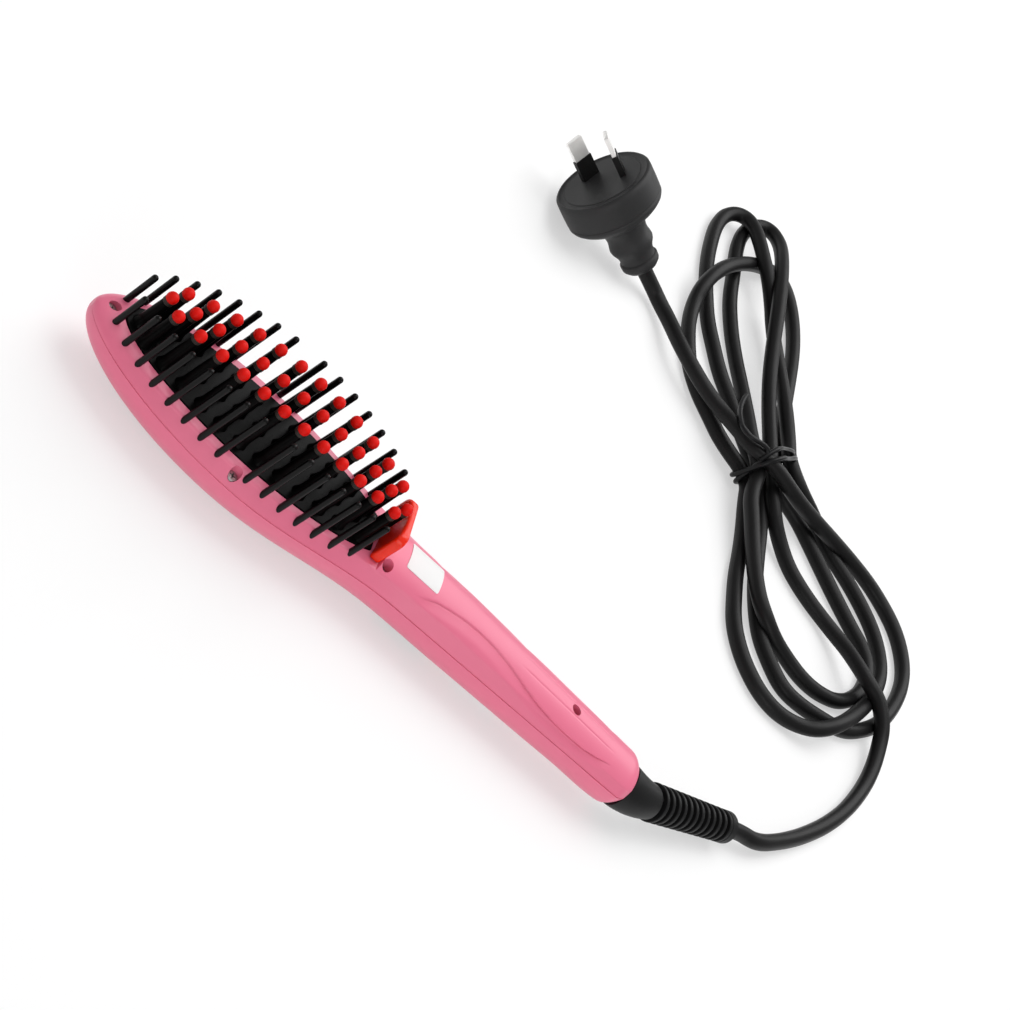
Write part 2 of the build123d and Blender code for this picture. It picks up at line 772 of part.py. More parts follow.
lead_side = 4.2
heater_end = heaters_x[1] + heater_length / 2
lead_z = heater_z + lead_radius + fit_gap
with BuildPart() as heater_leads:
    for side in (1, -1):
        route = [
            (heater_end + 0.1, side * lead_side, lead_z),
            (nose + plate_end, side * lead_side, lead_z),
            (nose + board_start + 3, side * (lead_side + 0.6), board_top + lead_radius + 1.2),
            (nose + board_start + 9, side * (lead_side + 0.6), board_top + lead_radius + 0.02),
        ]
        add(rounded_tube(route, lead_radius)[0])
heater_leads.part.label = "heater_leads"
export_step(heater_leads.part, "parts/heater_leads.step")

supply_side = 4.6
board_tail = nose + board_start + board_length
with BuildPart() as supply_leads:
    for side in (1, -1):
        route = [
            (board_tail - 6, side * supply_side, board_top + lead_radius + 0.02),
            (board_tail + 2, side * supply_side, board_top + lead_radius + 0.6),
            (bush_start - 9, side * (supply_side + 0.5), board_top + lead_radius),
            (bush_start - 0.05, side * supply_side, swivel_z + 2.2),
        ]
        add(rounded_tube(route, lead_radius)[0])
supply_leads.part.label = "supply_leads"
export_step(supply_leads.part, "parts/supply_leads.step")

# ---------------------------------------------------------------- swivel
# Bush: two brass-coloured half rings, clamped between the shells.
with BuildPart() as swivel_bush:
    with BuildSketch(Plane.XZ.offset(0)):
        with BuildLine():
            bore = swivel_z + shaft_radius + bush_gap
            groove = swivel_z + collar_radius + bush_gap
            groove_start = collar_at - 0.1
            groove_end = collar_at + collar_thickness + 0.1
            Polyline((bush_start, bore), (bush_start, swivel_z + bush_radius),
                     (bush_end, swivel_z + bush_radius), (bush_end, bore),
                     (groove_end, bore), (groove_end, groove), (groove_start, groove),
                     (groove_start, bore), (bush_start, bore))
        make_face()
    revolve(axis=swivel_axis)
    split(bisect_by=Plane.XY.offset(swivel_z), keep=Keep.BOTH)
swivel_bush.part.label = "swivel_bush"
export_step(swivel_bush.part, "parts/swivel_bush.step")

# Swivel head: turned plug on the cord end, its collar runs in the bush.
swivel_end = tail + sleeve_gap
with BuildPart() as swivel_head:
    with BuildSketch(Plane.XZ.offset(0)):
        with BuildLine():
            top = swivel_z + shaft_radius
            rim = swivel_z + collar_radius
            collar_end = collar_at + collar_thickness
            Polyline((bush_start + 0.5, swivel_z), (bush_start + 0.5, top), (collar_at, top),
                     (collar_at, rim), (collar_end, rim), (collar_end, top),
                     (swivel_end, top), (swivel_end, swivel_z), (bush_start + 0.5, swivel_z))
        make_face()
    revolve(axis=swivel_axis)
swivel_head.part.label = "swivel_head"
export_step(swivel_head.part, "parts/swivel_head.step")

# ---------------------------------------------------------------- cord set
# The route, on the table: out of the sleeve, round to the tied hank, and
# from the hank to the plug.
sleeve_bend = Vector(tail + 6.5, 0, swivel_z - 0.1)
sleeve_tip = Vector(tail + 53.0, 27.2, 7.0)
sleeve_line = (sleeve_tip - sleeve_bend).normalized()
cord_z = cord_radius + cord_floor
lead_route = [
    sleeve_tip,
    sleeve_tip + sleeve_line * 22,
    Vector(tail + 96.5, 60.5, cord_z),
    Vector(tail + 114.0, 88.0, cord_z),
    Vector(tail + 123.0, 110.0, cord_z + 0.5),
    Vector(tail + 123.0, 126.0, cord_z + 2.5),
    Vector(tail + 115.0, 139.0, cord_z + 5.5),
]
plug_elevation = 19.5
plug_heading = 179.4
plug_axis = Vector(cos(radians(plug_heading)) * cos(radians(plug_elevation)),
                   sin(radians(plug_heading)) * cos(radians(plug_elevation)),
                   sin(radians(plug_elevation)))
plug_radius = 18.8
plug_disc = 12.0
plug_length = 40.0
plug_face = Vector(tail - 73.0, 246.1, plug_radius * cos(radians(plug_elevation))
                   + plug_disc * sin(radians(plug_elevation)) + cord_floor)
plug_tail = plug_face - plug_axis * plug_length
plug_route = [
    plug_tail,
    plug_tail - plug_axis * 12,
    Vector(tail - 14.0, 236.0, cord_z + 2.0),
    Vector(tail - 7.0, 223.0, cord_z + 4.5),
    Vector(tail + 11.0, 211.0, cord_z + 5.0),
]

with BuildPart() as strain_relief:
    start_plane = Plane((swivel_end, 0, swivel_z), x_dir=(0, 1, 0), z_dir=(1, 0, 0))
    base_end = sleeve_bend + sleeve_line * (sleeve_base_length - 6.5)
    end_plane = Plane(base_end, x_dir=(0, 1, 0), z_dir=sleeve_line)
    with BuildSketch(start_plane):
        Circle(sleeve_base_radius)
    with BuildSketch(end_plane):
        Circle(rib_radius - 0.4)
    loft()
    sleeve_length = (sleeve_tip - base_end).length
    with BuildSketch(end_plane):
        Circle(sleeve_radius)
    extrude(amount=sleeve_length)
    for n in range(rib_count):
        with BuildSketch(end_plane.offset(rib_pitch * (n + 1) - rib_thickness)):
            Circle(rib_radius - rib_taper * n)
        extrude(amount=rib_thickness)
    with BuildSketch(end_plane.offset(sleeve_length - sleeve_collar_length)):
        Circle(rib_radius - rib_taper * rib_count)
    extrude(amount=sleeve_collar_length)
strain_relief.part.label = "strain_relief"
export_step(strain_relief.part, "parts/strain_relief.step")

cord_lead, lead_radii, lead_length = rounded_tube(lead_route, cord_radius)
cord_lead.label = "cord_lead"
export_step(cord_lead, "parts/cord_lead.step")
plug_lead, plug_radii, plug_lead_length = rounded_tube(plug_route, cord_radius)
plug_lead.label = "plug_lead"
export_step(plug_lead, "parts/plug_lead.step")
for cord_name, tube, radii, length in (("cord_lead", cord_lead, lead_radii, lead_length),
                                       ("plug_lead", plug_lead, plug_radii, plug_lead_length)):
    share = tube.volume / (pi * cord_radius ** 2 * length)
    print(cord_name, "radii", [round(r, 1) for r in radii], "length", round(length, 1),
          "volume against section by length", round(share, 4))

# Hank: the folded part of the cord as one closed block, narrow at the tie.
hank_outline = [
    (35, 189), (38, 169), (40, 150), (41, 136), (43, 123), (50, 110), (62, 101), (77, 98.5),
    (90, 102), (101, 110), (113, 119), (124, 131), (131, 145), (137, 161), (139, 178),
    (134, 193), (122, 204), (107, 208), (90, 208), (73, 210), (59, 214), (53, 222), (55, 237),
    (56, 258), (56, 280), (54, 305), (48, 321), (38, 335), (25, 346), (10, 338), (-1, 325),
    (-3, 305), (-4, 283), (-6, 264), (-5, 247), (-1, 231), (8, 216), (20, 204), (29, 197),
]
hank_height = 13.0
tie_centre = (tail + 44.1, 204.6)
tie_angle = 52.0
tie_length = 34.0
tie_height = 19.0
tie_wire = 1.1
tie_plane = Plane((tie_centre[0], tie_centre[1], cord_floor + tie_height / 2),
                  x_dir=(cos(radians(tie_angle)), sin(radians(tie_angle)), 0),
                  z_dir=(sin(radians(tie_angle)), -cos(radians(tie_angle)), 0))

# Tie: plastic coated wire wound round the waist of the hank.
with BuildPart() as cord_tie:
    with BuildSketch(tie_plane.offset(-tie_wire)):
        RectangleRounded(tie_length, tie_height, 5)
        RectangleRounded(tie_length - 4 * tie_wire, tie_height - 4 * tie_wire, 3,
                         mode=Mode.SUBTRACT)
    extrude(amount=2 * tie_wire)
cord_tie.part.label = "cord_tie"
export_step(cord_tie.part, "parts/cord_tie.step")

with BuildPart() as cord_hank:
    with BuildSketch(Plane.XY.offset(cord_floor)):
        with BuildLine():
            Spline(*[(tail + x, y) for x, y in hank_outline], periodic=True)
        make_face()
    extrude(amount=hank_height)
    add(cord_tie.part, mode=Mode.SUBTRACT)
cord_hank.part.label = "cord_hank"
export_step(cord_hank.part, "parts/cord_hank.step")

# ---------------------------------------------------------------- plug
blade_width = 6.35
blade_thickness = 1.6
blade_length = 17.0
blade_offset = 7.92          # from the plug's axis to the middle of a blade
blade_spread = 60.0          # from the plug's upright to each blade
plug_roll = -14.0            # from plug_side to the plug's upright
blade_sleeve = 8.5
sleeve_wall = 0.35
plug_side = plug_axis.cross(Vector(0, 0, 1)).normalized()
blade_places = [Location((blade_offset * cos(radians(angle)), blade_offset * sin(radians(angle)), 0),
                         (0, 0, angle))
                for angle in (plug_roll + blade_spread, plug_roll - blade_spread)]
plug_plane = Plane(plug_face, x_dir=plug_side, z_dir=plug_axis)
plug_turn_plane = Plane(plug_face, x_dir=plug_axis * -1, z_dir=plug_side)
with BuildPart() as plug_body:
    with BuildSketch(plug_turn_plane):
        with BuildLine():
            Polyline((0, 0), (0, plug_radius - 0.8), (0.8, plug_radius), (plug_disc, plug_radius))
            Spline((plug_disc, plug_radius), (15.0, 16.6), (17.0, 12.9), (18.8, 10.1),
                   (22.3, 8.3), (25.4, 8.1), (28.4, 8.6), (31.0, 7.6), (33.5, 6.9),
                   tangents=((1, -0.6), (1, -0.1)))
            Polyline((33.5, 6.9), (35.4, 6.9), (35.4, 7.5), (38.2, 7.4), (plug_length, 6.0),
                     (plug_length, 0), (0, 0))
        make_face()
    revolve(axis=Axis(plug_face, plug_axis))
    with BuildSketch(plug_plane):
        with Locations(*blade_places):
            Rectangle(blade_thickness + 0.1, blade_width + 0.1)
    extrude(amount=-6, mode=Mode.SUBTRACT)
plug_body.part.label = "plug_body"
export_step(plug_body.part, "parts/plug_body.step")

with BuildPart() as plug_blades:
    with BuildSketch(plug_plane.offset(-5.8)):
        with Locations(*blade_places):
            Rectangle(blade_thickness, blade_width)
    extrude(amount=5.8 + blade_length)
    blade_ends = plug_blades.faces().sort_by(Axis(plug_face, plug_axis))[-2:]
    chamfer(blade_ends.edges(), 0.5)
plug_blades.part.label = "plug_blades"
export_step(plug_blades.part, "parts/plug_blades.step")

with BuildPart() as blade_sleeves:
    with BuildSketch(plug_plane):
        with Locations(*blade_places):
            Rectangle(blade_thickness + 2 * sleeve_wall, blade_width + 2 * sleeve_wall)
            Rectangle(blade_thickness, blade_width, mode=Mode.SUBTRACT)
    extrude(amount=blade_sleeve)
blade_sleeves.part.label = "blade_sleeves"
export_step(blade_sleeves.part, "parts/blade_sleeves.step")

# Label: blank white sticker on the crown of the neck.
label_start = 122.0
label_length = 13.4
label_half_width = 5.3
label_thickness = 0.2
label_places = [label_start - 2 + (label_length + 4) * n / 5 for n in range(6)]
label_skin = half_body(label_places, -label_thickness, 1)
with BuildPart() as blank_label:
    with BuildSketch(Plane.XY.offset(seam_z)):
        with Locations((nose + label_start + label_length / 2, 0)):
            RectangleRounded(label_length, 2 * label_half_width, 0.6)
    extrude(amount=2 * neck_rise)
    add(label_skin, mode=Mode.INTERSECT)
    add(upper_body, mode=Mode.SUBTRACT)
blank_label.part.label = "blank_label"
export_step(blank_label.part, "parts/blank_label.step")
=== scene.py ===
from math import cos, pi, radians, sin, sqrt

import bmesh
import bpy
from mathutils import Matrix, Vector


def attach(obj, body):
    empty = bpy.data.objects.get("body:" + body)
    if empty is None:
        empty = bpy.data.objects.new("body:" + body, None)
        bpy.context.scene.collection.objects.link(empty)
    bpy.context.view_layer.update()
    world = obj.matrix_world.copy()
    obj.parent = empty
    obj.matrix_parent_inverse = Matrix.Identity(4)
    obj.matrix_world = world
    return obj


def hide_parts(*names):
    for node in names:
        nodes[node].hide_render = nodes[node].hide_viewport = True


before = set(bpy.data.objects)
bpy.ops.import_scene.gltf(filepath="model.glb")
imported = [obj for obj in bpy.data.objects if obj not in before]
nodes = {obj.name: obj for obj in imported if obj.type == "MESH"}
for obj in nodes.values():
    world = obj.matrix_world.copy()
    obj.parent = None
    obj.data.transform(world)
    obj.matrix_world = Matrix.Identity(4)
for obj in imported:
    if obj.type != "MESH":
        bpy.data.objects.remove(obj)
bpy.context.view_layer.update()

# ---------------------------------------------------------------- camera
# A long lens from the near side of the head, looking down on the comb as it
# lies on the table with its teeth up.


def placed(name, data):
    """Object of a mesh, curve, lamp or camera, linked to the scene."""
    made = bpy.data.objects.new(name, data)
    bpy.context.collection.objects.link(made)
    return made


def axes_at(x_line, y_line, z_line, at):
    """Matrix with its three axes along given lines and its origin at a place."""
    return Matrix((
        (x_line.x, y_line.x, z_line.x, at.x),
        (x_line.y, y_line.y, z_line.y, at.y),
        (x_line.z, y_line.z, z_line.z, at.z),
        (0, 0, 0, 1),
    ))


eye = Vector((-0.2967, -0.5967, 0.4943))
look_right = Vector((0.69389, 0.20806, 0.68937))
look_up = Vector((-0.62191, 0.65572, 0.42809))
look_back = Vector((-0.36296, -0.72577, 0.58439))
camera_data = bpy.data.cameras.new("camera")
camera_data.sensor_width = 36.0
camera_data.lens = 97.66
camera_data.shift_x = 0.1309
camera_data.shift_y = 0.0539
camera = placed("camera", camera_data)
camera.matrix_world = axes_at(look_right, look_up, look_back, eye)
bpy.context.scene.camera = camera

# ---------------------------------------------------------------- mains cord
# One round rubber-sheathed lead, 6 mm thick. It leaves the ribbed sleeve, is
# folded three times to each side of a wire tie, and runs on to the plug.


def moulded_group():
    """Mottled colour, uneven gloss and fine grain of a moulded surface."""
    tree = bpy.data.node_groups.new("moulded_surface", "ShaderNodeTree")
    face = tree.interface
    face.new_socket("Colour", in_out="INPUT", socket_type="NodeSocketColor")
    for label, value in (("Mottle", 0.05), ("Mottle Size", 60.0), ("Grain Size", 900.0),
                         ("Roughness", 0.4), ("Unevenness", 0.1)):
        socket = face.new_socket(label, in_out="INPUT", socket_type="NodeSocketFloat")
        socket.default_value = value
    face.new_socket("Colour", in_out="OUTPUT", socket_type="NodeSocketColor")
    face.new_socket("Roughness", in_out="OUTPUT", socket_type="NodeSocketFloat")
    face.new_socket("Height", in_out="OUTPUT", socket_type="NodeSocketFloat")
    new, link = tree.nodes.new, tree.links.new
    start, end = new("NodeGroupInput"), new("NodeGroupOutput")
    place = new("ShaderNodeTexCoord")
    cloud = new("ShaderNodeTexNoise")
    cloud.inputs["Detail"].default_value = 4.0
    grain = new("ShaderNodeTexNoise")
    grain.inputs["Detail"].default_value = 3.0
    for noise, size in ((cloud, "Mottle Size"), (grain, "Grain Size")):
        link(place.outputs["Object"], noise.inputs["Vector"])
        link(start.outputs[size], noise.inputs["Scale"])
    spread = new("ShaderNodeMath")
    spread.operation = "MULTIPLY_ADD"
    link(cloud.outputs["Fac"], spread.inputs[0])
    link(start.outputs["Mottle"], spread.inputs[1])
    lower = new("ShaderNodeMath")
    lower.operation = "MULTIPLY_ADD"
    link(start.outputs["Mottle"], lower.inputs[0])
    lower.inputs[1].default_value = -0.5
    lower.inputs[2].default_value = 1.0
    link(lower.outputs[0], spread.inputs[2])
    shade = new("ShaderNodeVectorMath")
    shade.operation = "SCALE"
    link(start.outputs["Colour"], shade.inputs[0])
    link(spread.outputs[0], shade.inputs["Scale"])
    link(shade.outputs[0], end.inputs["Colour"])
    dull = new("ShaderNodeMath")
    dull.operation = "MULTIPLY_ADD"
    link(cloud.outputs["Fac"], dull.inputs[0])
    link(start.outputs["Unevenness"], dull.inputs[1])
    link(start.outputs["Roughness"], dull.inputs[2])
    link(dull.outputs[0], end.inputs["Roughness"])
    link(grain.outputs["Fac"], end.inputs["Height"])
    return tree


moulded = moulded_group()


def finish(name, colour, roughness, mottle=0.06, mottle_size=60.0, grain=900.0, unevenness=0.08,
           bump=0.08, height=0.0002, **shader):
    """Material of one finish: the moulded surface with its own values."""
    material = bpy.data.materials.new(name)
    material.use_nodes = True
    tree = material.node_tree
    principled = tree.nodes["Principled BSDF"]
    surface = tree.nodes.new("ShaderNodeGroup")
    surface.node_tree = moulded
    surface.inputs["Colour"].default_value = (*colour, 1.0)
    surface.inputs["Mottle"].default_value = mottle
    surface.inputs["Mottle Size"].default_value = mottle_size
    surface.inputs["Grain Size"].default_value = grain
    surface.inputs["Roughness"].default_value = roughness - unevenness / 2
    surface.inputs["Unevenness"].default_value = unevenness
    relief = tree.nodes.new("ShaderNodeBump")
    relief.inputs["Strength"].default_value = bump
    relief.inputs["Distance"].default_value = height
    tree.links.new(surface.outputs["Colour"], principled.inputs["Base Color"])
    tree.links.new(surface.outputs["Roughness"], principled.inputs["Roughness"])
    tree.links.new(surface.outputs["Height"], relief.inputs["Height"])
    tree.links.new(relief.outputs["Normal"], principled.inputs["Normal"])
    for socket, value in shader.items():
        principled.inputs[socket.replace("_", " ")].default_value = value
    return material


def wear(material, *names):
    """Gives CAD nodes their material."""
    for name in names:
        nodes[name].data.materials.clear()
        nodes[name].data.materials.append(material)


def round_curve(name, points, radius, roundness):
    """Smooth curve with a round section along its control points, in metres."""
    curve = bpy.data.curves.new(name, "CURVE")
    curve.dimensions = "3D"
    line = curve.splines.new("NURBS")
    line.points.add(len(points) - 1)
    for point, place in zip(line.points, points):
        point.co = (*place, 1.0)
    line.order_u = 3
    line.use_endpoint_u = True
    line.resolution_u = 8
    curve.bevel_depth = radius
    curve.bevel_resolution = roundness
    curve.use_fill_caps = True
    return curve


cord_width = 0.006
sleeve_tip = Vector((0.168, 0.0272, 0.007))
# control points in mm
cord_route = [
    # out of the sleeve, round to the hank and over its lower loops to the tie
    (168, 27.2, 7), (174.9, 31.7, 6), (185.2, 34.4, 5.3), (198.1, 46.2, 3.9), (209.4, 58.5, 3.1),
    (220.1, 72.3, 3.2), (229.3, 87.5, 3.2), (236.4, 104.2, 3.3), (239.2, 116.6, 4.3),
    (239.1, 126.1, 6.1), (237.3, 132, 8.5), (234, 136.7, 10.1), (230.2, 140.5, 11.1),
    (224, 143.7, 11.2), (219.4, 149, 9.7), (215.3, 155.7, 7.2), (210.3, 160.7, 4.9),
    (204.5, 164.6, 3.5), (197.5, 167.2, 3.1), (189.8, 170.1, 3.2), (182.8, 174.8, 3),
    (175.6, 180.4, 4.4), (168.5, 184.8, 7.2), (163.6, 191.9, 9.7), (160.1, 205.4, 9.8),
    (157, 220.1, 9.9), (154.8, 236.7, 8.9),
    # first upper loop and back under the tie
    (151.3, 253, 10), (148.1, 271.4, 12.5), (146.4, 286, 14.1), (144.9, 301.7, 14.9),
    (144.8, 318.1, 13.4), (145.2, 332.9, 10.4), (142.6, 342, 7.5), (137.7, 343.5, 5.3),
    (132.4, 337.7, 3.9), (129, 327.5, 3.4), (128.2, 316.5, 3.2), (129.2, 300.9, 3.2),
    (129.7, 284.7, 3.2), (133.1, 269.6, 3.2), (138.2, 256.3, 3), (143, 242.1, 4.2),
    (146.1, 224.5, 7.2), (147.6, 208.8, 10.2), (153.3, 195.8, 11.7), (150.9, 180.2, 11),
    # innermost lower loop
    (154.6, 169.3, 10.2), (157.7, 158.2, 9.5), (160.8, 146.7, 9.4), (164.6, 137.2, 9.3),
    (170.9, 132.1, 8.2), (179.3, 129.6, 5.5), (189.3, 128.5, 3.6), (198.6, 126.8, 3.1),
    (208.2, 127.7, 3.2), (218.1, 132.3, 3.2), (226.5, 141.9, 3.2), (231.2, 153.2, 3.2),
    (231, 163.3, 3.2), (227.1, 169.7, 3.2), (220.2, 173.9, 3.2), (212.9, 179.2, 3.2),
    (205.6, 184.8, 3.2), (198.1, 191.1, 3.2), (190.6, 197.4, 3.2), (183.3, 202.6, 3.4),
    (171.9, 204.5, 4.7), (165.6, 212.7, 5.2), (166.2, 228.4, 4.5), (168.3, 252.1, 3),
    # widest upper loop
    (168.3, 269.5, 3.2), (168.3, 287.6, 3.2), (166.7, 301.8, 3.2), (163.7, 313.5, 3.2),
    (159.2, 322.6, 3.2), (152.7, 326.8, 3.3), (143.8, 321.8, 4.3), (132.3, 308.6, 7.8),
    (122.3, 294.8, 9.8), (114.6, 281, 10.1), (110.9, 269, 7.8), (111.4, 261.4, 4.1),
    (111.7, 250.2, 3.1), (113.4, 238.4, 3.2), (116.3, 227.3, 3.2), (123.1, 217.7, 3.2),
    (130.8, 211.8, 3.1), (138.5, 203.4, 3.9), (153.6, 195.4, 5.6), (155.1, 184.3, 4.2),
    # middle lower loop
    (157.4, 173.4, 3), (157.7, 160.1, 3.2), (157.5, 146.6, 3.2), (158.6, 134.6, 3.2),
    (160.2, 123.4, 3.2), (164.7, 114.1, 3.2), (170.8, 107.2, 3.2), (178.8, 102.1, 3.2),
    (188.6, 100.9, 3), (198.3, 102.6, 4.1), (205.6, 104.7, 7.5), (213.6, 112.9, 9.9),
    (224.1, 129.4, 8.1), (235.2, 149.8, 4), (238.9, 164.7, 3.1), (236.7, 175.4, 3.2),
    (231.3, 184.2, 3.2), (223.6, 190.8, 3.2), (214.8, 196.3, 3.2), (206.6, 199.9, 3.2),
    (198.6, 204.4, 3.4), (189.2, 208.9, 5.8), (176.2, 208.4, 10.2), (166.4, 215.4, 11.9),
    (166.6, 226.3, 10.4),
    # second upper loop
    (161.7, 238.6, 11.7), (159.3, 255.2, 9.5), (156.6, 272.6, 6.8), (152.5, 287.4, 6),
    (147.3, 297.9, 8.3), (140.2, 305.1, 11.6), (136.1, 311.7, 12), (133.3, 320.6, 11.1),
    (130.7, 328.7, 9.7), (126.9, 334.1, 7.8), (122.2, 334.1, 5.7), (117.9, 329, 4.1),
    (115.4, 320, 3.3), (114.5, 310.2, 3.2), (114.3, 297, 3.2), (115.4, 284.6, 3.2),
    (117.7, 272.5, 3.2), (121, 260.1, 3.2), (125.9, 250.4, 3.2), (131.9, 238.7, 3.2),
    (140.7, 229.3, 3.1), (147.8, 217, 3.9), (158, 201.4, 5.6),
    # outermost lower loop, back over the tie
    (163.7, 191.3, 4.2), (166.1, 179.8, 3), (166.6, 163.9, 3.2), (167.6, 150.1, 3.2),
    (170.3, 137.6, 3.2), (173.9, 127.8, 3.2), (180.3, 120.4, 3.2), (188.4, 113.9, 3.2),
    (198.7, 113.9, 3.2), (210.4, 116.9, 3.2), (221.9, 120.4, 3.2), (232.4, 129.7, 3.2),
    (241.7, 141.6, 3.2), (248.1, 157.1, 3.2), (251.4, 171.6, 3.2), (250.1, 183.7, 3.2),
    (244.8, 194.4, 3.2), (236.6, 201.2, 3.1), (225.9, 204.8, 3.9), (213.4, 204.7, 5.5),
    (199.7, 202.4, 7.9), (185.5, 198.6, 10.9), (172.4, 194.3, 14.4), (154, 195.6, 17.6),
    # and down to the plug
    (144.2, 195.6, 16.2), (136.8, 201.4, 14), (130.4, 208.7, 10.3), (122.2, 212.9, 9.2),
    (113.1, 217.3, 9.5), (105.5, 225.2, 8.2), (100.2, 236.7, 5.4), (94.9, 242.8, 4.3),
    (89.7, 246.1, 4.9), (79.7, 245.7, 8.5),
]
mains_cord = placed("mains_cord", round_curve(
    "mains_cord", [(x / 1000, y / 1000, z / 1000) for x, y, z in cord_route], cord_width / 2, 4))
cord_rubber = finish("cord_rubber", (0.0075, 0.0073, 0.0075), 0.42, mottle=0.4, mottle_size=45,
                     grain=1400, unevenness=0.14, bump=0.12, height=0.00015,
                     Specular_IOR_Level=0.16)
mains_cord.data.materials.append(cord_rubber)
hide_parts("cord_lead", "cord_hank", "plug_lead")
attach(mains_cord, "cord_set")

# ---------------------------------------------------------------- wire tie
# Plastic-coated wire wound twice round the waist of the hank, with its free
# end laid along the cords.


def add_piece(name, mesh, material, body):
    """Links a finished mesh, gives it its name, its material and its body."""
    piece = placed(name, mesh)
    mesh.name = name
    mesh.materials.clear()
    mesh.materials.append(material)
    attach(piece, body)
    return piece


def settled(source):
    """Plain mesh of an object as its modifiers leave it. The object goes."""
    bpy.context.view_layer.update()
    mesh = bpy.data.meshes.new_from_object(
        source.evaluated_get(bpy.context.evaluated_depsgraph_get()))
    bpy.data.objects.remove(source)
    return mesh


tie_wire = 0.00095        # half of its thickness
waist = Vector((0.1568, 0.2016, 0.0))
waist_along = Vector((0.616, 0.788, 0.0))
waist_across = Vector((0.788, -0.616, 0.0))
# the free end on the cords, as places in mm
tie_end = [(138.0, 223.8, 13.6), (135.0, 215.6, 14.6), (134.2, 204.1, 16.4), (135.5, 194.0, 19.2)]
# twice round, as distance along the waist, height, and distance across it, in mm
tie_turns = [
    (-9.5, 21.4, -3.5), (-12.6, 16.5, -1.0), (-13.3, 9.5, 0.0), (-13.0, 3.4, 0.3),
    (-8.0, 1.1, 0.4), (3.0, 1.1, 0.4), (16.0, 1.1, 0.4), (19.4, 5.0, 0.2), (19.6, 12.5, 0.0),
    (14.5, 16.2, 0.3), (3.0, 18.8, 0.9), (-6.0, 22.4, 1.0), (-12.0, 20.0, 0.6),
    (-13.8, 12.0, -0.4), (-13.6, 3.6, -2.0), (-8.0, 1.1, -3.2), (3.0, 1.1, -3.6),
    (16.0, 1.1, -3.2), (19.6, 4.6, -2.2), (19.8, 12.4, -1.8), (14.5, 16.4, -2.4),
    (4.0, 19.0, -3.2), (-5.5, 22.2, -3.0), (-10.5, 20.2, -2.4), (-13.2, 17.0, -1.6),
]
tie_points = [Vector(place) / 1000 for place in tie_end]
for along, up, across in tie_turns:
    tie_points.append(waist + waist_along * (along / 1000) + waist_across * (across / 1000)
                      + Vector((0, 0, up / 1000)))
tie_plastic = finish("tie_plastic", (0.006, 0.006, 0.0065), 0.36, mottle=0.25, bump=0.06,
                     Specular_IOR_Level=0.2)
tie_mesh = settled(placed("tie_source", round_curve("tie_line", tie_points, tie_wire, 3)))
tie_mesh.shade_smooth()
wire_tie = add_piece("wire_tie", tie_mesh, tie_plastic, "cord_set")
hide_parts("cord_tie")

# ---------------------------------------------------------------- cord sleeve
# Moulded rubber bend relief: a smooth tapered foot at the handle, then twelve
# rings joined by alternating bridges round a thin core, and an end collar.


def round_loop(build, middle, one, two, radius, sides):
    """Corners of a circle in the plane of two directions."""
    return [build.verts.new(middle + (one * cos(2 * pi * n / sides)
                                      + two * sin(2 * pi * n / sides)) * radius)
            for n in range(sides)]


def wrap(build, low, high):
    """Faces between two loops of as many corners."""
    for n in range(len(low)):
        m = (n + 1) % len(low)
        build.faces.new((low[n], low[m], high[m], high[n]))


def as_mesh(build, name):
    """Mesh of what was built, with its faces outwards."""
    bmesh.ops.recalc_face_normals(build, faces=build.faces)
    mesh = bpy.data.meshes.new(name)
    build.to_mesh(mesh)
    build.free()
    return mesh


def turned_mesh(name, outline, sides=48, along=Vector((0, 0, 1)), at=Vector((0, 0, 0))):
    """Closed turned body through (distance, radius) pairs along an axis."""
    build = bmesh.new()
    one = along.orthogonal().normalized()
    two = along.cross(one).normalized()
    loops = []
    for distance, radius in outline:
        middle = at + along * distance
        if radius:
            loops.append(round_loop(build, middle, one, two, radius, sides))
        else:
            loops.append([build.verts.new(middle)])
    for low, high in zip(loops, loops[1:]):
        if len(low) == len(high):
            wrap(build, low, high)
            continue
        for n in range(sides):
            m = (n + 1) % sides
            if len(low) == 1:
                build.faces.new((low[0], high[m], high[n]))
            else:
                build.faces.new((low[n], low[m], high[0]))
    mesh = as_mesh(build, name)
    mesh.shade_smooth()
    return mesh


def keep_edges(mesh, angle=35):
    """Marks edges sharper than an angle, so that they shade as edges."""
    mesh.shade_smooth()
    mesh.set_sharp_from_angle(angle=radians(angle))


handle_end = Vector((0.1153, 0.0, 0.0131))
sleeve_bend = Vector((0.1215, 0.0, 0.0130))
sleeve_line = (sleeve_tip - sleeve_bend).normalized()
sleeve_reach = (sleeve_tip - sleeve_bend).length
foot_radius = 0.0080
foot_narrowing = 0.0019
foot_steps = 22
rib_start = 0.0075        # from the bend to the end of the foot
rib_count = 12
rib_pitch = 0.0036
rib_radius = 0.0066
rib_thickness = 0.0014
rib_taper = -0.0136       # change of size from one ring to the next
bridge_width, bridge_height = 0.55, 1.5        # shares of the ring's radius
core_radius, core_tip_radius = 0.0041, 0.0039
collar_start = sleeve_reach - 0.0032
collar_radius, collar_chamfer = 0.0056, 0.0003
collar_recess = 0.0015
sleeve_rubber = finish("sleeve_rubber", (0.0075, 0.0075, 0.0078), 0.46, mottle=0.4,
                       mottle_size=120, grain=1600, unevenness=0.15, bump=0.18, height=0.0002,
                       Specular_IOR_Level=0.2)


